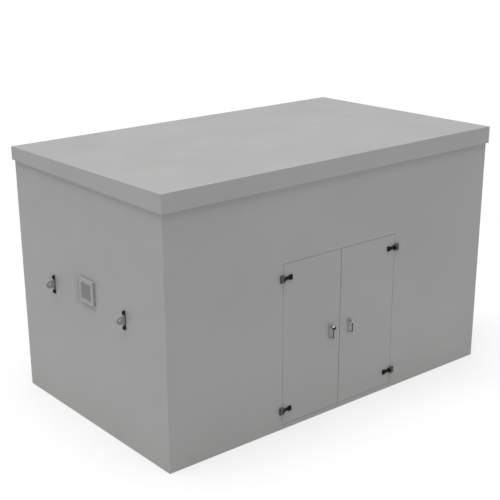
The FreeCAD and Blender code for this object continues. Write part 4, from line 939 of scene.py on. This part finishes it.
# Flywheel housing to alternator flange, alternator fins, end grille, terminal box lid
p = Piece("alternator_flange")
p.turned((-130, CY, CZ), "x", [(0, 149.6), (0, 160), (2, 162), (8, 162), (9.6, 160.4), (9.6, 149.6)], 72, closed=True)
p.turned((-466, CY, CZ), "x", [(0, 149.6), (0, 153), (1.5, 155), (10, 155), (12, 153), (12, 149.6)], 72, closed=True)
for k in range(36):
    w = 2 * math.pi * (k + 0.5) / 36
    d = Vector((0, math.cos(w), math.sin(w)))
    y, z = CY + 150 * d.y, CZ + 150 * d.z
    if z > 355 or z < 170:
        continue
    p.bar(Vector((-292, CY, CZ)) + d * 152, (d, (1, 0, 0), d.cross(Vector((1, 0, 0)))), (8, 290, 4), 1.2)
p.done("alternator_paint", edge=0.4)
p = Piece("alternator_bolts")
for k in range(16):
    w = 2 * math.pi * (k + 0.5) / 16
    p.bolt((-130, CY + 156 * math.cos(w), CZ + 156 * math.sin(w)), (-1, 0, 0), 8, 5, False)
for k in range(8):
    w = 2 * math.pi * (k + 0.5) / 8
    p.bolt((-476.5, CY + 132 * math.cos(w), CZ + 132 * math.sin(w)), (-1, 0, 0), 10, 6)
for x, y in ((-324, -24), (-196, -24), (-324, 84), (-196, 84)):
    p.bolt((x, y, 438.6), "z", 7, 4, False)
for x, y, z in ((-390, -150, 153), (-390, 210, 153), (250, -150, 182), (250, 210, 182)):
    p.bolt((x, y, z), "z", 19, 11)
p.done("zinc_steel")
p = Piece("alternator_end_cover")
p.turned((-470.2, CY, CZ), (-1, 0, 0), [(0, 146), (4, 145), (6.3, 142), (6.3, 124), (4, 122), (0, 122)], 72, closed=True)
for r in (112, 98, 84, 70, 56):
    p.turned((-470.2, CY, CZ), (-1, 0, 0), [(1, r - 3), (1, r + 3), (4, r + 2.4), (4, r - 2.4)], 64, closed=True)
p.turned((-470.6, CY, CZ), (-1, 0, 0), [(0, 45), (5, 44), (7, 41), (7, 22), (9, 20), (9.6, 16), (9.6, 0)], 48)
for k in range(8):
    w = 2 * math.pi * k / 8
    d = Vector((0, math.cos(w), math.sin(w)))
    p.bar(Vector((-473.4, CY, CZ)) + d * 84, (d, (1, 0, 0), d.cross(Vector((1, 0, 0)))), (82, 5, 6), 1.0)
p.done("alternator_paint", edge=0.3)
p = Piece("alternator_end_dark")
p.turned((-470.15, CY, CZ), (-1, 0, 0), [(0, 123), (0.9, 123), (0.9, 44), (0, 44)], 64, closed=True)
p.done("winding_steel")
p = Piece("terminal_box_lid")
p.block(-332, -188, -32, 92, 435.1, 438.6, 1.0)
p.loop((-334, -34, -186, 94), [(0, 429), (0, 437.6), (0.6, 438.2), (1.8, 438.2), (1.8, 429)], "XY")
p.turned((-260, -30, 404), (0, -1, 0), [(0, 17), (5, 17), (5, 14), (16, 14), (19, 11), (19, 0)], 26)
p.turned((-260, -35, 404), (0, -1, 0), [(0, 18.5), (7, 18.5), (7.6, 17.6), (7.6, 14)], 6)
p.done("control_paint", edge=0.3)

# Radiator cap ears, tank crimps, fan guard, hose clamps
p = Piece("radiator_cap")
p.turned((500, 130, 641.6), "z", [(0, 20), (0.8, 20), (2.4, 14), (3.4, 8), (3.4, 0)], 32)
for s in (-1, 1):
    p.bar((500 + s * 22, 130, 639), ((1, 0, 0), (0, 1, 0), (0, 0, 1)), (12, 14, 3), 1.2)
p.done("zinc_steel", edge=0.2)
p = Piece("radiator_crimps")
for z in (220, 580):
    for y in range(-142, 210, 14):
        for x, s in ((469.6, -1), (530.4, 1)):
            p.block(min(x, x + s * 1.6), max(x, x + s * 1.6), y - 4, y + 4, z - 6, z + 6, 0.5)
p.done("zinc_steel")
p = Piece("fan_guard")
for r in (58, 72, 86, 100, 114, 128, 142, 156):
    ring = [(364.0 + (0 if r < 150 else 2), CY + r * math.cos(t), FZ + r * math.sin(t)) for t in [2 * math.pi * k / 56 for k in range(57)]]
    p.tube(ring, 1.5, 8, ends=False)
for k in range(12):
    w = 2 * math.pi * (k + 0.5) / 12
    d = Vector((0, math.cos(w), math.sin(w)))
    c = Vector((367.0, CY, FZ))
    p.tube([c + d * 56, c + d * 100, c + d * 150, c + d * 160 + Vector((2.5, 0, 0)), c + d * 165.4 + Vector((10, 0, 0)), c + d * 165.6 + Vector((22, 0, 0))], 1.8, 8)
p.done("lever_black")
p = Piece("hose_clamps")
p.clamp((300, CY, 492), "z", 20.05, (0, -1, 0))
p.clamp((436, CY, 604), "x", 20.05, (0, -1, 0.3))
p.clamp((354, -50, 197), "x", 18.05, (0, -1, 0.2))
p.clamp((437, -50, 197), "x", 18.05, (0, -1, 0.2))
p.done("zinc_steel")

# Muffler bands and seams, air cleaner clips
p = Piece("muffler_bands")
for x in (-300, -210):
    p.band((x, 200, 680), "x", 75.05, 20, 1.6, 64)
    p.bar((x, 200, 757.6), ((1, 0, 0), (0, 1, 0), (0, 0, 1)), (20, 16, 3), 0.8)
    p.bolt((x, 200, 758.6), "z", 10, 6)
for x in (-420, -80):
    p.turned((x, 200, 680), "x", [(-2.6, 75.0), (-1.6, 76.4), (0, 77), (1.6, 76.4), (2.6, 75.0)], 64, closed=True)
p.done("duct_steel", edge=0.2)
p = Piece("air_cleaner_fittings")
for x in (84, 236):
    p.band((x, 218, 480), "x", 55.05, 12, 1.4, 60)
for w in (200, 320, 80):
    d = Vector((0, math.cos(math.radians(w)), math.sin(math.radians(w))))
    for x in (84, 236):
        p.bar(Vector((x, 218, 480)) + d * 58, (d, (1, 0, 0), d.cross(Vector((1, 0, 0)))), (4, 30, 11), 1.0)
p.turned((60, 218, 480), (-1, 0, 0), [(0, 12), (2, 12), (2.4, 6), (10, 5.4), (11, 4), (11, 0)], 24)
for s in (-1, 1):
    p.bar((53, 218 + s * 12, 484), ((1, 0, 0), (0, 1, 0.35 * s), (0, -0.35 * s, 1)), (3, 16, 9), 1.2)
p.done("zinc_steel", edge=0.2)
p = Piece("air_cleaner_ribs")
for k in range(9):
    p.turned((104 + 14 * k, 218, 480), "x", [(-1.6, 54.9), (-1, 56.4), (1, 56.4), (1.6, 54.9)], 60, closed=True)
p.turned((260, 218, 480), "x", [(-0.2, 31), (0, 40), (3, 39), (5, 34), (5, 31)], 44, closed=True)
p.done("cleaner_plastic")

# Right leaf: guides for the shoot bolts
for nm_, zs in (("upper", (404, 606)), ("lower", (284, 56))):
    p = Piece(nm_ + "_bolt_guides")
    for z in zs:
        for x0, x1 in ((27.4, 30.4), (37.6, 40.6)):
            p.block(x0, x1, -479.9, -468.4, z, z + 16, 0.5)
        p.block(22.5, 45.5, -469.4, -467.6, z, z + 16, 0.5)
        for x in (24.8, 43.2):
            p.block(x - 2.3, x + 2.3, -479.9, -469.2, z + 1, z + 15, 0.4)
            p.screw((x, -467.5, z + 8), "y", 1.9, 1.2)
    p.done("zinc_steel", "right_leaf", edge=0.2)

# Louvre flange screws
p = Piece("louvre_screws")
for x in (-606.5, -488, -370, -252, -133.5):
    for z in (113.5, 506.5):
        p.screw((x, 485, z), "y", 4.2, 2.4)
for z in (212, 310, 408):
    for x in (-606.5, -133.5):
        p.screw((x, 485, z), "y", 4.2, 2.4)
for y in (-156, -63, 30, 123, 216):
    for z in (214, 586):
        p.screw((803, y, z), "x", 4.2, 2.4)
for z in (307, 400, 493):
    for y in (-156, 216):
        p.screw((803, y, z), "x", 4.2, 2.4)
p.done("bolt_black")

# ---------------------------------------------------------------------------
# Floor
# ---------------------------------------------------------------------------
fm = Mat("floor")
fm.colour(fm.ramp(fm.noise(0.8, 3.0, 0.5), [(0.3, (0.297, 0.297, 0.297)), (0.7, (0.306, 0.306, 0.306))]))
fm.rough(0.9)
fm.b.inputs["Specular IOR Level"].default_value = 0.0
fm.b.inputs["Emission Color"].default_value = (1, 1, 1, 1)
fm.b.inputs["Emission Strength"].default_value = 0.585
bm = bmesh.new()
bmesh.ops.create_grid(bm, x_segments=8, y_segments=8, size=60.0)
fme = bpy.data.meshes.new("floor")
bm.to_mesh(fme)
bm.free()
floor = bpy.data.objects.new("floor", fme)
floor.location = (0, 0, CAD_BOX[0][2])
scene.collection.objects.link(floor)
floor.data.materials.append(fm.m)
